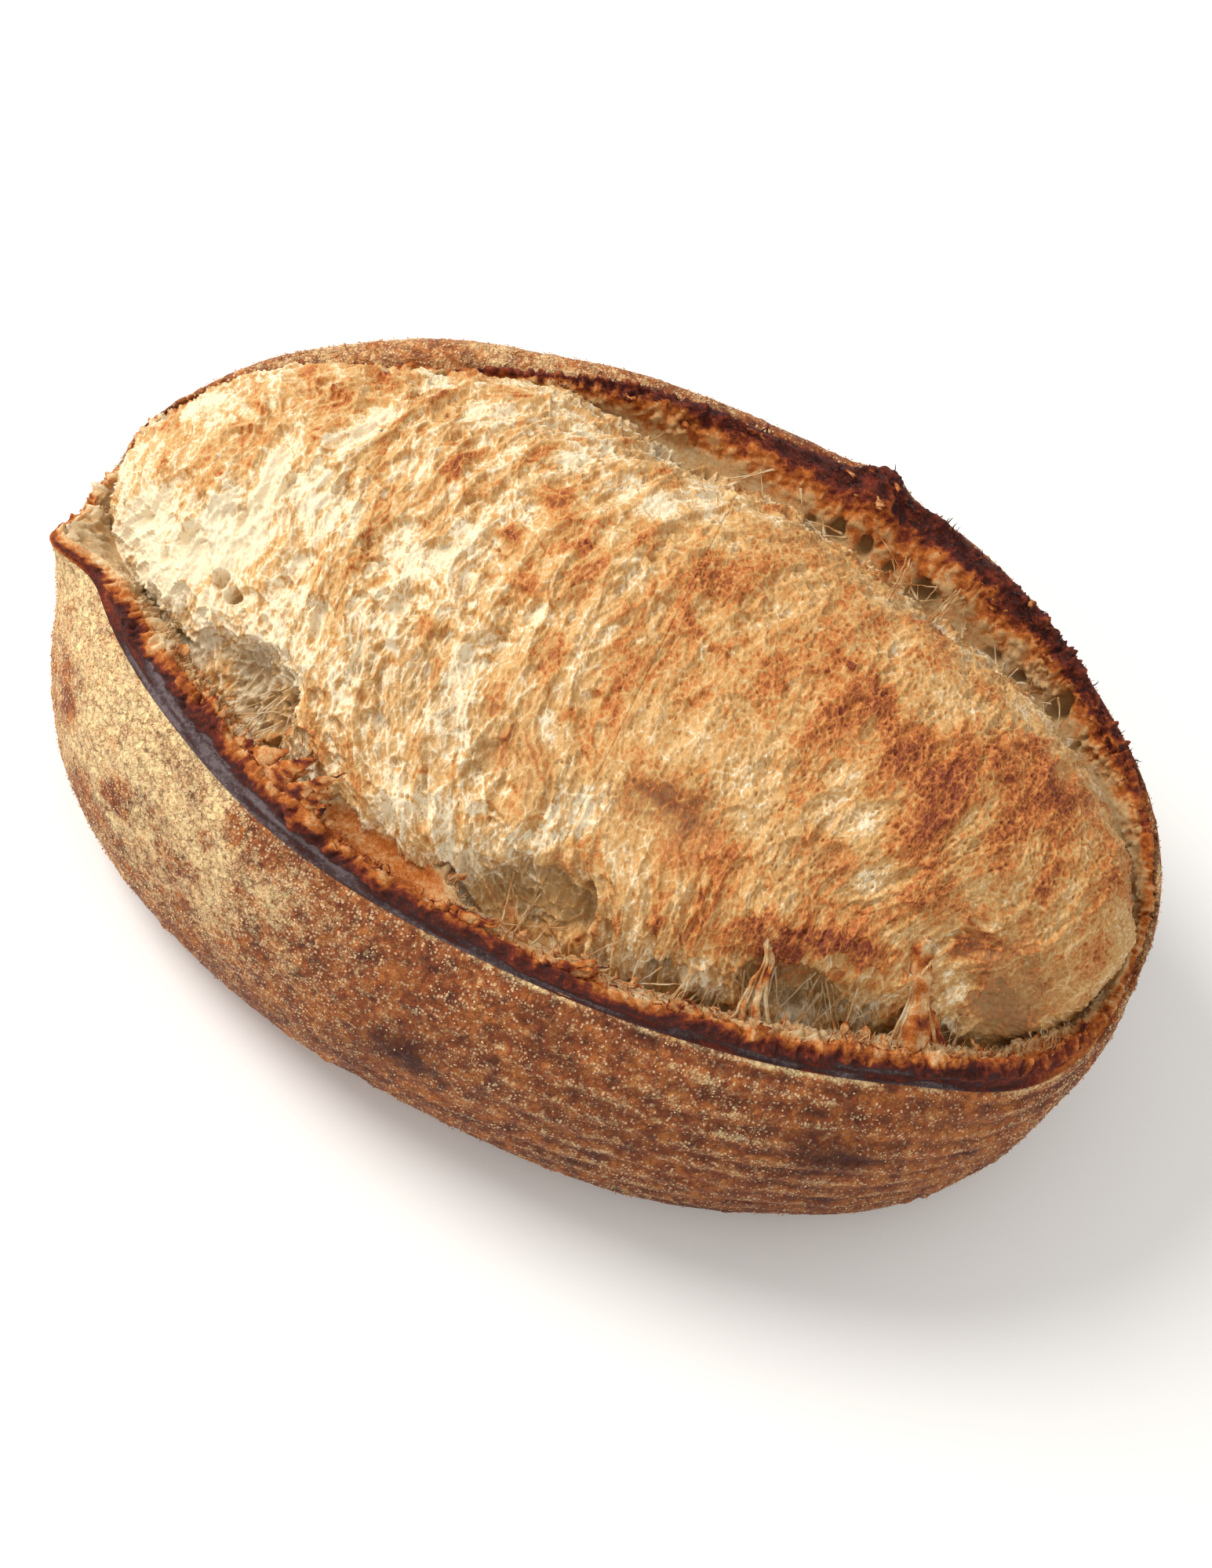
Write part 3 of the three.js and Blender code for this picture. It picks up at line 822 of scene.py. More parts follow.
@functools.cache
def torn_crust():
    """Torn crust of the lip: bread burnt from cream by way of orange and red brown to a purple
    black. Where it is charred it is smooth and shines a little, and its palest streaks are a
    painted sheen; the torn part is matte."""
    colours = bpy.context.scene.loaf_colours
    material, add = new_material("torn_crust")
    place = add("TexCoord", out="Object")
    burn, shade = (add("Attribute", attribute_name=mark, out="Fac") for mark in ("burn", "shade"))
    fine = add("TexNoise", Vector=place, Scale=scale_of(0.9), Detail=5, Roughness=0.75)
    burnt = add("Math", (burn, add("MapRange", (fine, 0.3, 0.7, -0.14, 0.14))), operation="ADD")
    tone = add("ValToRGB", (burnt,), stops=[
        (0.02, colours.crumb_cream), (0.18, colours.crumb_gold), (0.4, colours.torn_orange),
        (0.62, colours.torn_red), (0.8, colours.char_brown), (0.9, colours.char_purple),
        # The last stop is a painted sheen: pale streaks that stand in for the char's shine.
        (0.99, colours.painted_char_sheen)])
    # Painted shade: the shade mark mixes the tone towards the shaded crumb colour.
    shaded = add("Mix", {0: shade, 6: tone, 7: colours.crumb_shade}, data_type="RGBA", out=2)
    bump = add("Bump", Height=fine, Strength=0.8, Distance=0.5 * MM)
    shader = add("BsdfPrincipled", Base_Color=shaded, Normal=bump, IOR=1.45,
                 Roughness=add("MapRange", (burn, 0.8, 1.0, 0.9, 0.3)))
    add("OutputMaterial", (shader,))
    return material


@functools.cache
def torn_crumb():
    """Torn crumb: set gluten and starch in threads and films. It is cream and lets a little light
    through, browned on the crests that faced the heat, darkened in its hollows by painted shade, with
    fine threads that stay paler than the film between them."""
    colours = bpy.context.scene.loaf_colours
    material, add = new_material("torn_crumb")
    place = add("TexCoord", out="Object")
    toast, shade = (add("Attribute", attribute_name=mark, out="Fac") for mark in ("toast", "shade"))
    fine = add("TexNoise", Vector=place, Scale=scale_of(0.9), Detail=5, Roughness=0.8)
    browned = add("Math", (toast, add("MapRange", (fine, 0.3, 0.7, -0.1, 0.1))), operation="ADD")

    # Threads are about 0.15 mm thick, round gaps of 1 to 3 mm; drawn a little coarser so that they
    # show. They run crooked, because the place they are read at is pushed about by noise. Halved
    # across the loaf, they come out twice as long that way, as the dough was drawn.
    push = add("TexNoise", Vector=place, Scale=scale_of(2.2), Detail=2, out="Color")
    crooked = add("VectorMath", (push, (1.8 * MM, 1.8 * MM, 1.8 * MM), place),
                  operation="MULTIPLY_ADD")
    drawn_out = add("Mapping", Vector=crooked, Scale=(1, 0.5, 0.5))
    threads = []
    for size, middle, rim, strength in ((2.4, 0.01, 0.09, 0.19), (1.0, 0.02, 0.14, 0.15)):
        edge = add("TexVoronoi", Vector=drawn_out, Scale=scale_of(size), Randomness=1,
                   feature="DISTANCE_TO_EDGE")
        threads.append(add("MapRange", (edge, middle, rim, strength, 0)))
    web = add("Math", threads, operation="ADD")
    paler = add("Math", (browned, web), operation="SUBTRACT")
    tone = add("ValToRGB", (paler,), stops=[
        (0.0, colours.crumb_cream), (0.16, colours.crumb_gold), (0.4, colours.toast_gold),
        (0.64, colours.toast_orange), (0.86, colours.toast_brown), (1.0, colours.torn_red)])
    # Painted shade: the shade mark, less the web, mixes the tone towards the shaded crumb colour.
    shadow = add("Math", (shade, web), operation="SUBTRACT", use_clamp=True)
    shaded = add("Mix", {0: shadow, 6: tone, 7: colours.crumb_shade}, data_type="RGBA", out=2)
    height = add("Math", (web, 1.5, fine), operation="MULTIPLY_ADD")
    bump = add("Bump", Height=height, Strength=0.55, Distance=0.3 * MM)
    shader = add("BsdfPrincipled", Base_Color=shaded, Normal=bump, IOR=1.4,
                 Roughness=add("MapRange", (fine, 0.35, 0.65, 0.48, 0.78)),
                 Subsurface_Weight=0.1, Subsurface_Radius=(1.0, 0.6, 0.35),
                 Subsurface_Scale=1.2 * MM)
    add("OutputMaterial", (shader,))
    return material


def semolina():
    """Semolina: coarse, pale yellow meal of durum wheat, toasted a little, with dull facets."""
    colours = bpy.context.scene.loaf_colours
    material, add = new_material("semolina")
    tone = add("ValToRGB", (add("Attribute", attribute_name="tone", out="Fac"),), stops=[
        (0.0, colours.crust_gold), (0.7, colours.semolina), (1.0, colours.flour)])
    add("OutputMaterial", (add("BsdfPrincipled", Base_Color=tone, Roughness=0.6, IOR=1.5),))
    return material


def pale_floor():
    """Matte white board: painted evenly, with the faintest unevenness in tone."""
    material, add = new_material("pale_floor")
    cloud = add("TexNoise", Vector=add("TexCoord", out="Object"), Scale=scale_of(300))
    tone = add("MapRange", (cloud, 0, 1, 0.97))
    colour = add("Mix", {0: tone, 6: (0.7, 0.7, 0.7), 7: bpy.context.scene.loaf_colours.floor},
                 data_type="RGBA", out=2)
    add("OutputMaterial", (add("BsdfPrincipled", Base_Color=colour, Roughness=0.9),))
    return material


# ---------------------------------------------------------------- crust

def millimetres(setting):
    """One of the loaf's length settings, in millimetres."""
    return getattr(bpy.context.scene.loaf_form, setting) * 1000


def round_angles():
    """The angles round the loaf of a ring's points."""
    return np.arange(AROUND) / AROUND * TURN


def cane_rings(points, below):
    """The rings that a cane basket leaves, -1 to 1: the cosine of the distance from the lip's edge,
    counted in ring spacings and made to wander by noise."""
    wander = layered(points, (SEED + 2, 25, 0.35), (SEED + 3, 7, 0.12))
    return np.cos(TURN * (below / millimetres("ring_spacing") + wander))


def crust_relief(points, below):
    """Height of the crust's relief, in millimetres: slow swells, the basket's rings, blisters, fine
    crackle and grain. below is the distance from the lip's edge, where it all fades out."""
    strong = 0.35 + 0.65 * rise(-40, 40, points[..., 0])
    swell = layered(points, (SEED, 38, 0.8), (SEED + 1, 15, 0.4))
    swell = swell + millimetres("ring_height") * strong * cane_rings(points, below)
    for seed, size, part, high in ((21, 5.5, 0.4, 0.4), (31, 2.7, 0.5, 0.2)):
        near, _, own = cell_noise(seed, *split(points / size))
        swell = swell + high * (own < part) * fall(0.1, 0.5, near)
    near, second, _ = cell_noise(41, *split(points / 2.4))
    crackle = bell((second - near) / 0.1)
    swell = swell - 0.14 * crackle * rise(-0.2, 0.4, place_noise(43, points, 18))
    swell = swell + 0.9 * blobs(BURNT_BLISTERS, points)
    swell = swell + layered(points, (44, 1.3, 0.09), (45, 0.8, 0.06))
    return swell * rise(0, 2.5, below) * rise(0, 4, points[..., 2])


def crust_marks(points, below):
    """How floured, burnt and golden the crust is at points. A thin line of flour sits on the lip's
    edge, flour gathers on the rings' crests, and the blisters are burnt. Low on the right end the
    burn mark also darkens the crust as painted shade."""
    x, y, z = split(points)
    rings = cane_rings(points, below)
    strong = rise(-30, 50, x)
    patchy = layered(points, (51, 14, 0.55), (52, 5, 0.5))
    flour = blobs(FLOURED, points) * (0.75 + patchy) + 0.08 + 0.1 * patchy
    flour = flour - 0.04 * strong + 0.42 * strong * rise(0.1, 1, rings) * (0.7 + patchy)
    edge = bell((below - 0.5) / 0.7) * rise(10, -10, y) * (0.7 + 1.5 * patchy)
    flour = np.maximum(flour, 0.8 * edge * rise(-60, 0, x))
    burn = blobs(BURNT_BLISTERS, points) * (0.8 + 0.5 * place_noise(53, points, 2.5))
    bare = 1 - clamp(2 * flour)
    burn = burn + 0.38 * bare * rise(0.1, 0.9, place_noise(54, points, 8))
    burn = burn + 0.42 * strong * rise(0.2, 1, -rings) * (0.7 + patchy)
    # Painted shade: the crust is darkened low on the right end, near the floor.
    burn = burn + 0.42 * bell(np.hypot((x - 75) / 60, (z - 8) / 26))
    return {"flour": clamp(flour), "burn": np.clip(burn, 0, 0.9),
            "golden": clamp(blobs(GOLDEN, points))}


@functools.cache
def crust_surface():
    """The whole outer crust as a grid (rows up from the base's edge, angles round), and its
    marks."""
    climb = np.concatenate([np.linspace(0, 1, FOOT_ROWS + 1), np.linspace(1, 2, SIDE_ROWS + 1)[1:]])
    climb, angle = np.meshgrid(climb, round_angles(), indexing="ij")
    points = wall(angle, climb)
    walked = lengths(points, axis=0)
    below = walked[-1] - walked
    marks = crust_marks(points, below)
    points = points + normals(points, True) * crust_relief(points, below)[..., None]
    points[..., 2] = np.maximum(points[..., 2], 0)
    return points, marks


def crust_foot():
    """The flat base and the belly below the widest line, closed by a hidden lid."""
    points, marks = crust_surface()
    base = points[0] * np.linspace(0, 1, BASE_ROWS + 1)[1:-1, None, None]
    side = points[:FOOT_ROWS + 1]
    lid = side[-1:] * (0.96, 0.94, 1)
    rings = np.concatenate([base, side, lid])
    ends = np.array([[(0, 0, 0), (0, 0, BELLY_HEIGHT)]], float)
    below = {"flour": 0.35 + layered(base, (61, 20, 0.3), (62, 6, 0.2)),
             "burn": layered(base, (63, 12, 0.25)), "golden": np.zeros(base.shape[:2])}
    full = {}
    for mark, rows in marks.items():
        rows = [below[mark], rows[:FOOT_ROWS + 1], rows[FOOT_ROWS:FOOT_ROWS + 1]]
        full[mark] = clamp(np.concatenate(rows))[None]
    return rings[None], ends, full, len(rings) - 2


def crust_side():
    """The crust from the belly to the lip's outer edge, with a hidden inner face 4 mm behind."""
    points, marks = crust_surface()
    side = points[FOOT_ROWS:]
    back = inside_of(side[[-1, -1, 0]], (4, 4, 4), (-1, -5, 0))
    full = {mark: np.concatenate([rows[FOOT_ROWS:], rows[[-1, -1, FOOT_ROWS]]])[None]
            for mark, rows in marks.items()}
    return np.concatenate([side, back])[None], None, full, len(side) - 1


def inside_of(rings, inwards, ups):
    """Rings moved in towards the loaf's middle and up, in millimetres."""
    moved = rings - outward(round_angles())[None] * np.asarray(inwards, float)[:, None, None]
    moved[..., 2] += np.asarray(ups, float)[:, None]
    return moved


def semolina_grains():
    """Loose grains pressed into the crust: octahedra with uneven corners, their middles at random
    places of the crust's grid, more of them where flour lies thick, sunk in by a third."""
    rng = np.random.default_rng(SEED + 2)
    points, marks = crust_surface()
    rows = slice(FOOT_ROWS // 2, -3)
    spots = points[rows].reshape(-1, 3)
    facing = normals(points, True)[rows].reshape(-1, 3)
    step = np.linalg.norm(np.diff(points, axis=0), axis=-1)[rows][:len(points[rows])].ravel()
    clumps = np.clip(0.5 + layered(spots, (221, 2.4, 0.9), (222, 9, 0.6)), 0.02, 2)
    chance = clumps * (0.18 + marks["flour"][rows].ravel()) * np.resize(step, len(spots))
    count = bpy.context.scene.loaf_form.grain_count
    picked = rng.choice(len(spots), count, replace=False, p=chance / chance.sum())
    at = spots[picked] + rng.normal(0, 0.2, (count, 3))
    size = millimetres("grain_size") * rng.uniform(0.55, 1.25, count) ** 1.5 / 2
    axes = rng.normal(size=(count, 3))
    up = facing[picked]
    side = unit(np.cross(up, axes))
    other = np.cross(up, side)
    centre = at + up * (size * 0.35)[:, None]
    long = size[:, None] * rng.uniform(0.7, 1.3, (count, 6))
    corners = [centre + way * long[:, i:i + 1] for i, way in enumerate((side, other, -side, -other))]
    low, high = centre - up * long[:, 4:5], centre + up * long[:, 5:] * 0.8
    tone = rng.uniform(0, 1, (count, 1, 1)) + np.zeros((1, 1, 4))
    return np.stack(corners, axis=1)[:, None], np.stack([low, high], axis=1), {"tone": tone}


# ---------------------------------------------------------------- lip

def lip_grid():
    """The lip as a closed band: straight runs between its outer edge, crest, torn edge, groove and
    two hidden rows, with each row's place: it counts along the runs from 0."""
    angle = round_angles()
    edge, foot = wall(angle, 2 + 0 * angle), groove(angle)
    hidden = inside_of(np.stack([foot, edge]), (6, 4), (-6, -8))
    corners = [edge, crest(angle), torn_edge(angle), foot, *hidden]
    rows, place = [], []
    for i, count in enumerate(LIP_ROWS):
        share = (np.arange(count) / count)[:, None, None]
        rows.append(corners[i] * (1 - share) + corners[(i + 1) % len(corners)] * share)
        place.append(i + share[..., 0] + 0 * angle)
    return np.concatenate(rows), np.concatenate(place)


def lip_surface():
    """The torn lip. The cut face (place 0 to 1) is for its outer share smooth, slightly hollow char
    with grooves lengthways; the rest of it and the torn band (1 to 2) stand a little proud, with
    fibres across the tear, grains and crumbs, and teeth along the crest; shelves are smooth and
    hollow, with a fringe on their edge."""
    points, place = lip_grid()
    angle = round_angles()
    turns = angle / TURN + 0 * place
    walked = lengths(points, axis=0)
    torn_share = clamp(place - 1)
    on_shelf = clamp(shelf(angle) / 5)
    ledge = on_shelf * rise(1.0, 1.25, place) * fall(1.75, 1.95, place)
    ragged = lip("ragged", angle) + 0 * place
    shown = fall(2.9, 3.2, place)

    char_edge = lip("smooth", angle) + 0.10 * round_noise(84, turns, 6)
    char_edge = char_edge + 0.07 * round_noise(85, turns, 2)
    torn = rise(-0.06, 0.10, place - char_edge) * fall(2.6, 3.0, place)
    on_char = rise(0, 0.1, place) * fall(-0.1, 0.02, place - char_edge)
    swirl = turns + 1.6 / PERIMETER * round_noise(87, turns, 4, walked / 3)
    fibres = ridges(round_noise(73, swirl, 1.3, walked / 4)) ** 2
    strips = ridges(round_noise(86, swirl, 3.7, walked / 6)) ** 3
    clumps = round_noise(88, turns, 3.4, walked / 2.6)
    grain = round_noise(74, turns, 1.5, walked / 1.4)
    count = round(PERIMETER / 1.6)
    crumbs, _, own = cell_noise(75, turns * count, walked / 1.6, wrap=count)
    crumbs = (own < 0.6) * fall(0.1, 0.5, crumbs)
    rough = 0.8 * fibres + 0.3 * strips + 0.6 * grain + 0.7 * crumbs + 0.4 * clumps
    rough = rough * (0.8 + 0.6 * round_noise(89, turns, 13))
    height = torn * (0.25 + ragged * 0.3 + (1 - 0.9 * ledge) * (rough - 0.4))
    height = height - 3.2 * ledge * np.sin(math.pi * torn_share)
    height = height - 0.35 * on_char + 0.2 * on_char * round_noise(71, turns, 9, walked / 0.7)
    height = height + 0.2 * on_char * round_noise(72, turns, 1.8, walked / 1.1)
    in_cell, cell_depth = open_cells(points)
    height = (height - cell_depth * (place > 2) * shown) * rise(0, 0.12, place) * shown
    moved = points + normals(points, True) * height[..., None]

    teeth = clamp(round_noise(76, turns, 4.6)) ** 1.5 * 2.4
    teeth = teeth + clamp(round_noise(77, turns, 2.1, walked / 1.5)) * 1.2
    teeth = teeth + 0.5 * round_noise(78, turns, 1.0, walked)
    moved[..., 2] += teeth * ragged * bell((place - 1.03) / 0.1) * (1 - 0.7 * on_shelf)
    fringe = clamp(round_noise(79, turns, 2.1)) + 0.7 * round_noise(80, turns, 1.0)
    fringe = fringe * ragged * bell((place - 2) / 0.16)
    moved -= outward(angle) * (1.4 * fringe)[..., None]
    moved[..., 2] += 1.6 * on_shelf * clamp(fringe)

    # The burnt colour: even on the char, and from there fading over the tear to cream.
    wander = 0.3 * round_noise(81, turns, 12, walked / 6)
    wander = wander + 0.14 * round_noise(82, turns, 2.6, walked / 2)
    fade = (place - lip("burnt", angle)) / lip("fade", angle) + wander
    tear = np.interp(fade, [0, 0.2, 0.45, 0.75, 1.05, 1.4], [0.84, 0.72, 0.52, 0.38, 0.28, 0.16])
    tear = tear * np.minimum(lip("black", angle) / 0.8, 1)
    tear = tear - 0.20 * (fibres - 0.4) - 0.06 * clumps - 0.08 * grain
    # Noise along the lip lifts the char into the ramp's last stop, in streaks of painted sheen.
    char = lip("black", angle) + 0.14 * round_noise(83, turns, 7, walked / 0.8)
    burn = np.where(place < char_edge, char, np.minimum(tear, 0.78))
    bowl = 0.37 + 0.23 * np.square(2 * torn_share - 1) + 0.04 * grain + 0.06 * clumps
    burn = burn + ledge * (bowl - burn) * 0.9
    # Painted shade: the inner slope, the groove and the open cells are darkened towards the shaded
    # crumb colour where the burn is light.
    shade = 0.6 * rise(1.15, 1.9, place) * (1 - ledge) + 0.1 * clumps
    shade = 0.75 * in_cell + shade * rise(0.45, 0.2, burn)
    marks = {"burn": clamp(burn)[None], "shade": np.clip(shade, 0, 0.85)[None]}
    return moved[None], None, marks, sum(LIP_ROWS[:3])


# ---------------------------------------------------------------- bloom

def crumb_cells(a, b, drawn):
    """Gas cells drawn out along the fibres, at three sizes, from where a point lies between its
    nearest and second nearest centres: the depth of their bowls, and the thin threads left
    standing between them. drawn (0 to 1) is how far the crumb is stretched there."""
    bowls, threads = 0, 0
    for seed, across, along, deep, line, plain in CELL_LAYERS:
        near, second, own = cell_noise(seed, a / across, b / along)
        edge = second - near
        here = plain + (1 - plain) * drawn
        bowls = bowls + deep * here * rise(0, 0.55, edge) * (0.35 + 0.65 * own)
        threads = np.maximum(threads, here * bell(edge / line) * (0.5 + 0.5 * deep / 1.3))
    return bowls, threads


def crumb_fibres(a, b, drawn):
    """Long thin fibres: the lines where layers of stretched noise cross 0, each slanted differently
    across the flow, and a soft fine streak beneath them."""
    long = 0
    for seed, slant, wide, far, share in FIBRE_LAYERS:
        long = np.maximum(long, lines(noise(seed, (a + slant * b) / wide, b / far), share))
    fine = ridges(noise(145, a / 1.1, b / 9)) ** 2
    return long * (0.3 + 0.7 * drawn), fine * (0.2 + 0.8 * drawn)


def crumb_craters(a, b, drawn):
    """Open bubbles: bowls round scattered centres with a thin raised rim."""
    depth, rims, floors = 0, 0, 0
    for seed, across, along, part, deep in CRATER_LAYERS:
        near, _, own = cell_noise(seed, a / across, b / along)
        far = near / (0.2 + 0.28 * own / part)
        here = (own < part) * (0.48 + 0.52 * drawn)
        bowl = here * fall(0.6, 1.0, far)
        depth = depth + deep * bowl
        rims = np.maximum(rims, here * bell((far - 1.08) / 0.12))
        floors = np.maximum(floors, bowl)
    return depth, rims, floors


def crumb_scoops(a, b, drawn):
    """Scoops like thumb prints: in lanes along the flow, each drops steeply at its arched far edge
    and rises slowly to the near one; its depth falls to 0 at the lane's sides, as a parabola."""
    depth, edges, floors = 0, 0, 0
    for seed, wide, high, part, deep in SCOOP_LAYERS:
        lane = np.floor(a / wide)
        t = a / wide - lane - 0.5
        row = b / high + 5 * hashed([lane], seed + 1) + 1.1 * t * t
        cell = np.floor(row)
        share = 1 - (row - cell)
        own = hashed([lane, cell], seed)
        here = (own < part) * (1 - 4 * t * t) * (0.36 + 0.64 * drawn)
        bowl = here * rise(0, 0.09, share) * (1 - share) ** 0.8
        depth = depth + deep * bowl
        edges = np.maximum(edges, here * bell((share - 0.03) / 0.04))
        floors = np.maximum(floors, bowl)
    return depth, edges, floors


def crumb_web(a, b, drawn):
    """The fine web of gluten round cells of about a millimetre, which are longer where the crumb is
    stretched, and the pits in some of them."""
    stretched = rise(0.3, 0.8, drawn)
    near, second, own = cell_noise(171, a / 1.15, b / 1.4)
    web = bell((second - near) / 0.15)
    pits = (own < 0.25) * fall(0.1, 0.45, near) * (1 - 0.7 * stretched)
    near, second, _ = cell_noise(172, a / 1.3, b / 4.5)
    return web + stretched * (bell((second - near) / 0.12) - web), pits


def crumb_froth(u, v, frothy):
    """Foam in the caves and hollows: the depth of its bubbles, and the threads between them."""
    near, second, own = cell_noise(181, u / 2.8, v / 3.2)
    depth = frothy * rise(0, 0.45, second - near) * (0.4 + 0.6 * own)
    return depth, frothy * bell((second - near) / 0.09)


def bloom_grid():
    """The angles along and over the bloom as a grid (sections along the loaf, steps over it), a
    little closer together in the middle."""
    share = np.linspace(0, 1, SLICES * SLICE_SECTIONS + 1)
    along = END_ANGLE + (math.pi - 2 * END_ANGLE) * (share + 0.038 * np.sin(TURN * share))
    share = np.linspace(0, 1, OVER_STEPS + 1)
    over = math.pi * (share + 0.02 * np.sin(TURN * share))
    return np.meshgrid(along, over, indexing="ij")


@functools.cache
def bloom_surface():
    """The bloom as a grid with its marks. The large hollows and folds come first, along the arch's
    normal. On top of them, along the new normal and in millimetres walked along (u) and over from
    the ridge (v), come wrinkles, cells, fibres, craters and grain. The flow of the fibres curves: it
    leans towards +X on the far side and on the near right one, and towards -X on the near left."""
    along, over = bloom_grid()
    base = arch(along, over)
    large = blobs(RELIEF, base)
    v = lengths(base, axis=1)
    foot = np.minimum(v, v[:, -1:] - v)
    large = np.where(large < 0, large * rise(-1, 6, foot), large)
    points = base + normals(base, False) * large[..., None]
    outwards = normals(points, False)
    middle = OVER_STEPS // 2
    v = v - v[:, middle:middle + 1]
    u = lengths(base[:, middle:middle + 1], axis=0) + 0 * v
    x, y, _ = split(points)
    from_near, from_far = v - v[:, :1], v[:, -1:] - v
    near_foot = bell(from_near / 13)
    far_foot = bell(from_far / 12) * rise(-60, -20, x)

    ragged_x = x + 3.0 * place_noise(195, points, 7) + 1.5 * place_noise(196, points, 2.5)
    ragged_y = y + 3.0 * place_noise(197, points, 7) + 1.5 * place_noise(198, points, 2.5)
    browned_and_shaded = patches(BROWNED_AND_SHADED, ragged_x, ragged_y) - patches(PALE, ragged_x, ragged_y)
    brink = -50 + 24 * rise(55, 85, x)
    dome = rise(-35, 15, x) * rise(0, 18, y - brink) + 0.7 * rise(0.2, 0.5, browned_and_shaded)
    dome = clamp(dome) * (1 - 0.8 * far_foot)
    drawn = 1 - 0.75 * dome
    hollow = clamp(-large / 5)
    in_cave, cave_depth = caves(points)
    in_cell, cell_depth = open_cells(points)

    lean = 0.15 + 0.005 * v + 0.6 * rise(10, 80, x) * rise(0, -32, y)
    a = u + lean * v + 2.4 * noise(101, u / 17, v / 21) + 0.8 * noise(102, u / 6, v / 8)
    b = v + 2.4 * noise(103, u / 17, v / 21)
    folds = ridges(noise(104, (a + 0.15 * b) / 9, b / 22)) ** 2
    waves = noise(105, a / 12, b / 15)
    bowls, threads = crumb_cells(a, b, drawn)
    long, fine = crumb_fibres(a, b, drawn)
    open_depth, rims, floors = crumb_craters(a, b, drawn)
    scoop_depth, edges, scoops = crumb_scoops(a, b, drawn)
    web, pits = crumb_web(a, b, drawn)
    froth, foam_threads = crumb_froth(u, v, clamp(in_cave + 0.6 * far_foot + 0.5 * hollow))

    detail = millimetres("thread_height") * (0.45 * threads + 0.4 * long + 0.12 * fine + 0.18 * web)
    detail = detail + (0.3 + 0.7 * drawn) * (folds - 0.5) + 0.66 * waves
    detail = detail - bowls - millimetres("crater_depth") * (open_depth - 0.5 * rims)
    detail = detail - scoop_depth + 0.5 * edges
    detail = detail - 0.35 * pits - 1.2 * froth + 0.4 * foam_threads
    detail = detail + 0.12 * noise(191, u, v / 1.1) + 0.08 * noise(192, u / 0.6, v / 0.7)
    detail = detail + 0.32 * dome * noise(193, u / 4.5, v / 4.5)
    calm = 1 - 0.75 * bell(np.hypot((x - 15) / 9, (y + 34) / 6))
    fade = rise(0, 2.0, from_near) * rise(0, 1.5, from_far)
    fade = fade * rise(0, 0.03, along) * rise(0, 0.03, math.pi - along)
    points = points + outwards * ((detail * calm - cave_depth - cell_depth) * fade)[..., None]

    # Crests that stand proud took the heat; floors of craters and hollows stayed pale.
    proud = 0.16 * (folds - 0.4) + 0.08 * waves - 0.18 * floors - 0.08 * bowls * drawn
    grainy = 0.22 * noise(201, u / 7, v / 9) + 0.08 * noise(202, u / 2, v / 3)
    grainy = grainy + drawn * (0.14 * noise(203, a / 6, b / 17) + 0.1 * noise(204, a / 2.4, b / 10))
    grainy = grainy + 0.22 * edges - 0.12 * scoops
    # The toast mark also carries the two rows of painted shade among the browned patches.
    toast = 0.41 + 0.13 * rise(-70, 15, x) + 0.7 * browned_and_shaded + proud + grainy
    rusty = np.maximum(lines(noise(206, (a + 0.3 * b) / 2.6, b / 9), 0.14),
                       lines(noise(207, (a - 0.4 * b) / 3.4, b / 12), 0.12))
    toast = toast - 0.2 * threads - 0.2 * long * drawn + 0.1 * rims + 0.3 * rusty * drawn
    toast = toast - 0.10 * web - 0.15 * in_cave - 0.08 * far_foot + 0.1 * pits * dome
    toast = toast + 0.25 * bell((hollow - 0.45) / 0.2) * (1 - in_cave) * near_foot
    # Painted shade, mixed towards the shaded crumb colour: in caves, hollows, open cells and froth, on
    # the floors of cells and craters, along the far foot and the near left one, and in the listed
    # patches; threads and rims stay lighter.
    shade = 0.50 * in_cave + 0.25 * hollow + 0.7 * in_cell + 0.3 * froth - 0.6 * foam_threads
    shade = shade + (0.14 * np.clip(bowls, 0, 1.5) + 0.1 * floors) * drawn + 0.4 * far_foot
    shade = shade + 0.35 * near_foot * rise(-100, -60, x) * clamp(1 - 2 * browned_and_shaded)
    shade = shade + patches(PAINTED_SHADE_PATCHES, ragged_x, ragged_y)
    shade = shade - 0.55 * long * drawn - 0.45 * threads - 0.35 * rims
    return points, {"toast": clamp(toast), "shade": np.clip(shade, 0, 0.85)}


def bloom_slice(number):
    """One of the bloom's slices along the loaf, closed below by a sagging hidden underside and at
    each cut by a flat cap."""
    points, marks = bloom_surface()
    own = slice(number * SLICE_SECTIONS, (number + 1) * SLICE_SECTIONS + 1)
    top = points[own]
    share = (np.arange(1, UNDER_STEPS) / UNDER_STEPS)[None, :, None]
    under = top[:, -1:] * (1 - share) + top[:, :1] * share
    under[..., 2] -= UNDERSIDE_DEPTH * np.sqrt(np.sin(math.pi * share[..., 0]))
    rings = np.concatenate([top, under], axis=1)
    closing = (rings[:, 0] + rings[:, OVER_STEPS]) / 2
    ends = np.stack([closing[0], closing[-1]])[None]
    full = {}
    for mark, values in marks.items():
        edge = np.repeat(values[own][:, -1:], UNDER_STEPS - 1, axis=1)
        full[mark] = np.concatenate([values[own], edge], axis=1)[None]
    return rings[None], ends, full, len(rings) - 1


# ---------------------------------------------------------------- shards, hairs and strands

def scattered(rng, spots, count):
    """Random places on the lip, in degrees, shared out over spots."""
    low, high, chance = np.array(spots).T
    picked = rng.choice(len(spots), size=count, p=chance)
    return rng.uniform(low[picked], high[picked])


def ways(angle):
    """At places on the lip, the ways along it, outwards and up."""
    out = outward(angle)
    return np.cross((0, 0, 1), out), out, np.array((0, 0, 1.0))


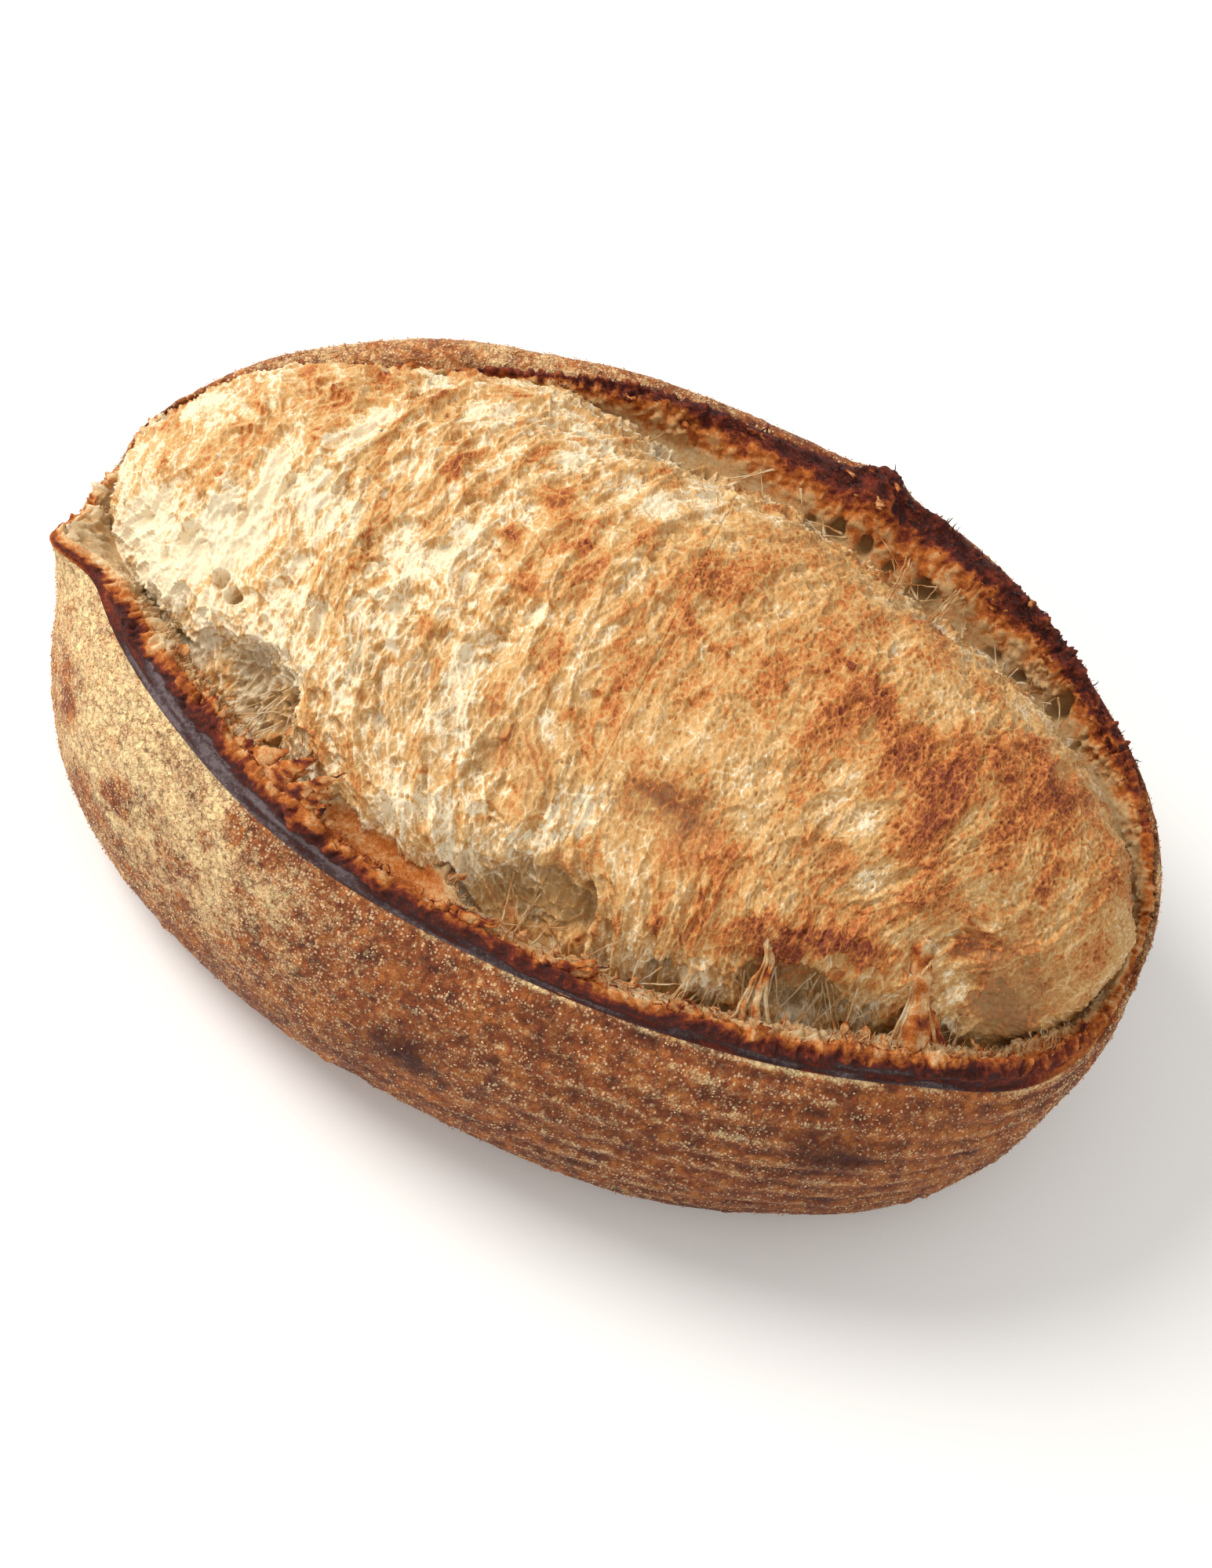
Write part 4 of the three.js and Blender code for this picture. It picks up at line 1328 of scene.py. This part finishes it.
def bent_tubes(start, bend, end, across, wide, thick, taper, sides):
    """Flattened tubes along quadratic curves. Each ring is an ellipse whose width lies along the
    direction `across`, turned square to the curve, and whose size is scaled by taper, an array
    (tubes, rings). Returns the rings (tubes, rings, sides, 3) and the closing points."""
    t = (np.arange(taper.shape[1]) / taper.shape[1])[None, :, None]
    curve = start[:, None] * (1 - t) ** 2 + bend[:, None] * 2 * t * (1 - t) + end[:, None] * t ** 2
    way = unit((bend - start)[:, None] * (1 - t) + (end - bend)[:, None] * t)
    side = unit(across[:, None] - way * np.sum(way * across[:, None], axis=-1, keepdims=True))
    over = np.cross(way, side)
    turn = np.arange(sides) / sides * TURN
    x = (wide[:, None] / 2 * taper)[:, :, None] * np.cos(turn)
    y = (thick[:, None] / 2 * taper)[:, :, None] * np.sin(turn)
    tubes = curve[:, :, None] + side[:, :, None] * x[..., None] + over[:, :, None] * y[..., None]
    return tubes, np.stack([start, end], axis=1)


def shaken(rings, seed, size, reach):
    """Points pushed about by noise in space, the same along each of the three ways."""
    push = [place_noise(seed + axis, rings, size) for axis in range(3)]
    return rings + np.stack(push, axis=-1) * reach


def tuft_spikes(rng):
    """The spikes of the named tufts. They start side by side and fan out, and the middle ones are
    the longest. Gives their degrees on the lip, their width and thickness, how far the tip lies
    along, in and up, and whether they stand on the torn edge."""
    named = np.array(SHARDS)
    named = np.repeat(named, named[:, 6].astype(int), axis=0)
    degrees, wide, thick, along, inwards, up, _, back = named.T
    count = len(named)
    fan = rng.uniform(-0.5, 0.5, count)
    long = (1 - 1.1 * np.abs(fan)) * rng.uniform(0.65, 1.05, count)
    return [degrees + fan * wide / PERIMETER * 360,
            wide * rng.uniform(0.35, 0.6, count),
            thick * rng.uniform(0.8, 1.4, count),
            along * long + 2 * fan + rng.normal(0, 0.5, count),
            inwards * long + rng.normal(0, 0.4, count),
            up * long + rng.normal(0, 0.4, count),
            back]


def small_teeth(rng):
    """Small teeth scattered along the lip, in the same terms."""
    count = bpy.context.scene.loaf_form.tooth_count
    low, high, _ = rng.choice(TOOTH_SPOTS, size=count, p=[spot[2] for spot in TOOTH_SPOTS]).T
    size = rng.uniform(0.3, 1, count) ** 1.5
    return [rng.uniform(low, high), 3.4 * size, 1.3 * size,
            rng.uniform(-3, 4, count) * size, rng.uniform(0.5, 3.5, count) * size,
            rng.uniform(0.6, 3.4, count) * size, rng.integers(0, 2, count)]


def shards():
    """Tufts of torn spikes and small teeth on the lip. Each bends over towards its tip, and its
    width falls as (1 - share)^0.7, notched by noise."""
    rng = np.random.default_rng(SEED)
    made = np.concatenate([tuft_spikes(rng), small_teeth(rng)], axis=1)
    degrees, wide, thick, along, inwards, up, back = made
    angle = np.radians(degrees)
    lipwards, out, sky = ways(angle)
    root = crest(angle) * (1 - back[:, None]) + torn_edge(angle) * back[:, None]
    start = root - out * thick[:, None] / 2 - sky * 1.5
    end = start + lipwards * along[:, None] - out * inwards[:, None] + sky * (up + 1.5)[:, None]
    bend = start + lipwards * along[:, None] / 4 + sky * (up * 0.7 + 1)[:, None]
    share = np.arange(SHARD_RINGS) / SHARD_RINGS
    row = np.arange(len(angle))[:, None] + 0 * share
    taper = (1 - share) ** 0.7 * (1 + 0.6 * noise(211, row * 7.3, share * 9 + 0 * row))
    rings, ends = bent_tubes(start, bend, end, lipwards, wide, thick, taper, SHARD_SIDES)
    rings = shaken(rings, 212, 1.3, (0.25 + 0.5 * share)[None, :, None, None])
    own = rng.uniform(-0.1, 0.1, len(angle))
    own = (own + 0.28 * (degrees < 180) * lip("black", angle) - 0.2 * back)[:, None, None]
    burn = 0.5 - 0.14 * share[None, :, None] + own + 0.4 * place_noise(216, rings, 1.5)
    burn = burn + 0.2 * rise(0.8, 1, share)[None, :, None]
    return rings, ends, {"burn": np.clip(burn, 0.3, 0.86), "shade": 0 * burn}


def hairs():
    """Fine hairs of gluten left on the torn lip and its shelves: each leaves the surface at a random
    place between the crest and the torn edge and bends over the groove; its width falls to 0."""
    rng = np.random.default_rng(SEED + 3)
    count = bpy.context.scene.loaf_form.hair_count
    angle = np.radians(scattered(rng, HAIR_SPOTS, count))
    far = np.sin(angle)[:, None] > 0
    inner = rng.uniform(0, 1, (count, 1)) ** 0.6 - far * rng.uniform(0, 1.2, (count, 1))
    inner = np.where(shelf(angle)[:, None] > 2, np.round(inner), inner)
    lipwards, out, sky = ways(angle)
    start = crest(angle) * (1 - np.abs(inner)) - sky * 0.8
    start = start + torn_edge(angle) * np.maximum(inner, 0)
    start = start + wall(angle, 2 + 0 * angle) * np.maximum(-inner, 0)
    long = rng.uniform(0.8, 3.2, (count, 1))
    tip = unit(rng.normal((0, -0.5, 0.9), (0.7, 0.35, 0.3), (count, 3)))
    end = start + (lipwards * tip[:, :1] + out * tip[:, 1:2] + sky * tip[:, 2:]) * (long + 0.8)
    bend = (start + end) / 2 + rng.normal(0, 0.25, (count, 3)) * long
    share = np.arange(HAIR_RINGS) / HAIR_RINGS
    wide = rng.uniform(0.18, 0.5, count)
    taper = np.sqrt(1 - share)[None] + np.zeros((count, 1))
    rings, ends = bent_tubes(start, bend, end, lipwards, wide, wide, taper, HAIR_SIDES)
    rings = shaken(rings, 231, 1.2, 0.35 * share[None, :, None, None])
    inner, far = np.maximum(inner, 0)[:, 0], far[:, 0]
    dark = np.where(far, 0.55 - 0.1 * inner, 0.35 * lip("black", angle) * (1 - inner))
    burn = (0.2 + dark + rng.uniform(-0.12, 0.2, count))[:, None, None]
    burn = burn + 0.1 * place_noise(234, rings, 2)
    return rings, ends, {"burn": np.clip(burn, 0, 0.85), "shade": 0 * burn}


def bundles(rng):
    """The fibres of the named bundles, side by side on the lip and drawn together towards the bloom.
    Gives their angles on the lip, starts and ends, how thick they are at the foot and the waist,
    how much they browned, and last the necks that they bend round."""
    named = np.array([(*row[:5], *row[5], row[6]) for row in STRANDS], float)
    named = np.repeat(named, named[:, 4].astype(int), axis=0)
    degrees, foot_spread, top_spread, thick = named[:, :4].T
    at, browned = named[:, 5:8], named[:, 8]
    count = len(named)
    fan = rng.uniform(-0.5, 0.5, count)
    middle = np.radians(degrees)
    angle = middle + fan * foot_spread / PERIMETER * TURN
    lower = 0.35 * (degrees[:, None] < 180)
    lipwards, out, _ = ways(angle)
    start = torn_edge(angle) * (1 - lower) + groove(angle) * lower
    start = start + out * rng.uniform(-0.5, 1.5, (count, 1))
    start[:, 2] -= 0.8
    end = at + lipwards * (fan * top_spread)[:, None]
    end = end + rng.normal(0, 0.4, end.shape) - out * 3
    neck = 0.45 * torn_edge(middle) + 0.55 * at
    neck = neck + lipwards * (fan * top_spread * 1.3)[:, None] + rng.normal(0, 0.3, end.shape)
    foot = thick * rng.uniform(0.7, 1.6, count)
    return angle, start, end, foot, 0.6 * foot, browned, neck


def loose_threads(rng):
    """Fine threads scattered over the hollows, in the same terms but without a neck."""
    count = bpy.context.scene.loaf_form.thread_count
    angle = np.radians(scattered(rng, THREAD_SPOTS, count))
    near = angle > math.pi
    lower = rng.uniform(0.2, 1, (count, 1))
    start = torn_edge(angle) * (1 - lower) + groove(angle) * lower
    over = np.where(near, rng.uniform(0.12, 0.42, count), math.pi - rng.uniform(0.1, 0.34, count))
    along = np.where(near, TURN - angle, angle) + rng.normal(0, 0.05, count)
    end = arch(along, over)
    lift = blobs(RELIEF, end) - caves(end)[1] - 0.5
    end = end + normal_of_arch(along, over) * lift[:, None]
    foot = rng.uniform(0.3, 0.8, count)
    return angle, start, end, foot, 0.4 * foot, 0 * angle


def strands():
    """Strands between lip and bloom. Each thins to a waist, as a parabola, and spreads at both
    ends."""
    rng = np.random.default_rng(SEED + 1)
    *held, neck = bundles(rng)
    angle, start, end, foot, waist, browned = map(np.concatenate, zip(held, loose_threads(rng)))
    apart = np.linalg.norm(end - start, axis=1)
    bend = (start + end) / 2 + rng.normal(0, 0.07, start.shape) * apart[:, None]
    bend[:len(neck)] = neck
    share = (np.arange(STRAND_RINGS) / STRAND_RINGS)[None]
    slim = (waist / foot)[:, None]
    taper = slim + (1 - slim) * (2 * share - 1) ** 2
    lipwards = ways(angle)[0]
    rings, ends = bent_tubes(start, bend, end, lipwards, foot, foot * 0.8, taper, STRAND_SIDES)
    rings = shaken(rings, 228, 5, 0.5 * np.minimum(foot, 1.4)[:, None, None, None])
    rings = shaken(rings, 222, 1.4, 0.3 * np.minimum(foot, 2)[:, None, None, None])
    burn = 0.12 + browned[:, None, None] + 0.1 * (1 - share)[:, :, None]
    burn = burn + 0.3 * place_noise(226, rings, 2)
    shade = 0.35 * fall(0.6, 1.6, foot)[:, None, None] + 0 * burn
    return rings, ends, {"burn": clamp(burn), "shade": shade}


# ---------------------------------------------------------------- stage

def lay_floor():
    """The board that the loaf stands on: one flat square."""
    floor = bpy.data.meshes.new("floor")
    around = ((-1, -1), (1, -1), (1, 1), (-1, 1))
    corners = [(x * FLOOR_REACH, y * FLOOR_REACH, 0) for x, y in around]
    floor.from_pydata(corners, [], [(0, 1, 2, 3)])
    floor.materials.append(pale_floor())
    board = link("floor", floor)


def set_lights():
    """An even, pale world and the lights, each facing the target."""
    world = bpy.data.worlds.new("studio")
    world.use_nodes = True
    background = world.node_tree.nodes["Background"]
    background.inputs["Color"].default_value = SKY_COLOUR
    background.inputs["Strength"].default_value = SKY_STRENGTH
    bpy.context.scene.world = world
    for name, way, distance, size, watts, colour in LIGHTS:
        light = bpy.data.lights.new(name, "AREA")
        light.shape = "DISK"
        light.size = size
        light.energy = watts
        light.color = colour
        lamp = link(name, light)
        lamp.location = Vector(VIEW_TARGET) * MM + Vector(way).normalized() * distance
        lamp.rotation_euler = Vector(way).to_track_quat("Z", "Y").to_euler()


def set_camera():
    """The camera: it looks at the target from its elevation and distance, rolled about that way."""
    elevation, roll = math.radians(VIEW_ELEVATION), math.radians(VIEW_ROLL)
    back = Vector((0, -math.cos(elevation), math.sin(elevation)))
    up = Vector((0, math.sin(elevation), math.cos(elevation)))
    right = Vector((1, 0, 0))
    rolled_right = right * math.cos(roll) + up * math.sin(roll)
    rolled_up = up * math.cos(roll) - right * math.sin(roll)
    rotation = Matrix((rolled_right, rolled_up, back)).transposed().to_4x4()
    place = Vector(VIEW_TARGET) * MM + back * VIEW_DISTANCE * MM
    lens = bpy.data.cameras.new("camera")
    lens.lens = LENS
    lens.sensor_width = SENSOR
    camera = link("camera", lens)
    camera.matrix_world = Matrix.Translation(place) @ rotation
    bpy.context.scene.camera = camera


# ---------------------------------------------------------------- settings

def size_property(name, description, size, low=0.0):
    """A length setting, given here in millimetres."""
    return FloatProperty(name=name, description=description, default=size * MM, min=low * MM,
                         unit="LENGTH", precision=5)


def colour_property(name, description, code):
    """A colour setting whose default is an sRGB hex code."""
    return FloatVectorProperty(name=name, description=description, subtype="COLOR",
                               size=3, min=0, max=1, default=linear(code))


class LoafForm(PropertyGroup):
    """Sizes of the loaf's finer forms."""

    ring_spacing: size_property(
        "Ring spacing", "Between the rings that the basket's cane leaves", 5.6, 1)
    ring_height: size_property(
        "Ring height", "Of those rings, from the middle to the crest", 0.3)
    thread_height: size_property(
        "Fibre height", "How far the crumb's fibres stand out", 0.9)
    crater_depth: size_property(
        "Crater depth", "Of the crumb's open craters, for each unit of their own", 1.0)
    grain_size: size_property(
        "Grain size", "Of the semolina grains on the crust", 0.36, 0.1)
    grain_count: IntProperty(
        name="Grains", description="How many semolina grains stand out of the crust",
        default=24000, min=0, max=24900)
    tooth_count: IntProperty(
        name="Teeth", description="How many small torn teeth the lip has besides its named shards",
        default=230, min=1)
    hair_count: IntProperty(
        name="Hairs", description="How many fine hairs stand on the torn lip",
        default=2400, min=1)
    thread_count: IntProperty(
        name="Threads", description="How many fine threads cross the hollows",
        default=110, min=1)


class LoafColours(PropertyGroup):
    """Colours of the crust, the torn lip and the crumb."""

    crust_gold: colour_property("Crust gold", "Thin crust that browned least", "#b06931")
    crust_brown: colour_property("Crust brown", "Crust over most of the side", "#85411b")
    crust_dark: colour_property("Crust dark", "Crust that took most heat", "#451c0a")
    flour: colour_property("Flour", "Flour that baked on", "#f9e1a4")
    semolina: colour_property("Semolina", "Grains of semolina", "#e4bd90")
    fleck: colour_property("Flecks", "Bare brown flecks between the flour", "#633214")
    char_purple: colour_property("Char", "The smooth charred cut face", "#402e2e")
    # Painted sheen: the pale streaks on the char stand in for its shine.
    painted_char_sheen: colour_property("Painted char sheen", "Painted sheen streaks on the char", "#645254")
    char_brown: colour_property("Dark char", "Charred crust and blisters", "#370e05")
    torn_red: colour_property("Torn red", "Torn crust next to the char", "#70260f")
    torn_orange: colour_property("Torn orange", "Torn crust further in", "#b8661f")
    crumb_cream: colour_property("Crumb cream", "Crumb that stayed pale", "#eddcba")
    crumb_gold: colour_property("Crumb gold", "Crumb that just turned", "#dab37e")
    toast_gold: colour_property("Toast gold", "Lightly toasted crumb", "#c89a5b")
    toast_orange: colour_property("Toast", "Toasted crumb", "#bd7032")
    toast_brown: colour_property("Toast brown", "Crumb that browned most", "#8b471b")
    # Painted shade: the colour that hollows, caves and grooves are darkened towards.
    crumb_shade: colour_property("Shaded crumb", "Painted shade for crumb deep in the hollows", "#ab8857")
    floor: colour_property("Floor", "The board that the loaf stands on", "#f4f3f1")


# ---------------------------------------------------------------- operators

class LOAF_OT_crust(Operator):
    """Build the crust: the base and belly, and the side up to the lip"""

    bl_idname = "loaf.crust"
    bl_label = "Crust"

    def execute(self, context):
        build("crust_foot", "crust", baked_crust(), *crust_foot())
        build("crust_side", "crust", baked_crust(), *crust_side())
        return {"FINISHED"}


class LOAF_OT_lip(Operator):
    """Build the torn and charred lip of the score"""

    bl_idname = "loaf.lip"
    bl_label = "Torn lip"

    def execute(self, context):
        build("torn_lip", "crust", torn_crust(), *lip_surface())
        return {"FINISHED"}


class LOAF_OT_bloom(Operator):
    """Build the bloom of torn crumb, in slices along the loaf"""

    bl_idname = "loaf.bloom"
    bl_label = "Bloom"

    def execute(self, context):
        for number in range(SLICES):
            build(f"bloom_{number + 1}", "crumb", torn_crumb(), *bloom_slice(number))
        return {"FINISHED"}


class LOAF_OT_shards(Operator):
    """Build the shards and teeth along the lip"""

    bl_idname = "loaf.shards"
    bl_label = "Shards"

    def execute(self, context):
        build("lip_shards", "crust", torn_crust(), *shards())
        return {"FINISHED"}


class LOAF_OT_hairs(Operator):
    """Build the fine hairs on the torn lip"""

    bl_idname = "loaf.hairs"
    bl_label = "Hairs"

    def execute(self, context):
        build("lip_hairs", "crust", torn_crust(), *hairs())
        return {"FINISHED"}


class LOAF_OT_strands(Operator):
    """Build the strands and threads between the lip and the bloom"""

    bl_idname = "loaf.strands"
    bl_label = "Strands"

    def execute(self, context):
        build("crumb_strands", "crumb", torn_crust(), *strands())
        return {"FINISHED"}


class LOAF_OT_grains(Operator):
    """Scatter semolina grains over the crust"""

    bl_idname = "loaf.grains"
    bl_label = "Semolina"

    def execute(self, context):
        build("semolina_grains", "crust", semolina(), *semolina_grains())
        return {"FINISHED"}


class LOAF_OT_stage(Operator):
    """Set up the floor, the light, the world and the camera"""

    bl_idname = "loaf.stage"
    bl_label = "Stage"

    def execute(self, context):
        context.scene.view_settings.view_transform = "Standard"
        lay_floor()
        set_lights()
        set_camera()
        return {"FINISHED"}


class LOAF_PT_panel(Panel):
    """Lists the loaf's pieces and its settings"""

    bl_idname = "LOAF_PT_panel"
    bl_label = "Sourdough loaf"
    bl_space_type = "VIEW_3D"
    bl_region_type = "UI"
    bl_category = "Loaf"

    def draw(self, context):
        for operator in OPERATORS:
            self.layout.operator(operator.bl_idname)
        for group in (context.scene.loaf_form, context.scene.loaf_colours):
            column = self.layout.column()
            for name in group.bl_rna.properties.keys():
                if name not in {"rna_type", "name"}:
                    column.prop(group, name)


GROUPS = (LoafForm, LoafColours)
OPERATORS = (LOAF_OT_stage, LOAF_OT_crust, LOAF_OT_lip, LOAF_OT_bloom, LOAF_OT_shards,
             LOAF_OT_hairs, LOAF_OT_strands, LOAF_OT_grains)


def register():
    for kind in (*GROUPS, *OPERATORS, LOAF_PT_panel):
        bpy.utils.register_class(kind)
    bpy.types.Scene.loaf_form = PointerProperty(type=LoafForm)
    bpy.types.Scene.loaf_colours = PointerProperty(type=LoafColours)


def unregister():
    del bpy.types.Scene.loaf_colours
    del bpy.types.Scene.loaf_form
    for kind in reversed((*GROUPS, *OPERATORS, LOAF_PT_panel)):
        bpy.utils.unregister_class(kind)


def main():
    """Registers the add-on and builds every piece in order."""
    register()
    bpy.ops.loaf.stage()
    bpy.ops.loaf.crust()
    bpy.ops.loaf.lip()
    bpy.ops.loaf.bloom()
    bpy.ops.loaf.shards()
    bpy.ops.loaf.hairs()
    bpy.ops.loaf.strands()
    bpy.ops.loaf.grains()


if __name__ == "__main__":
    main()
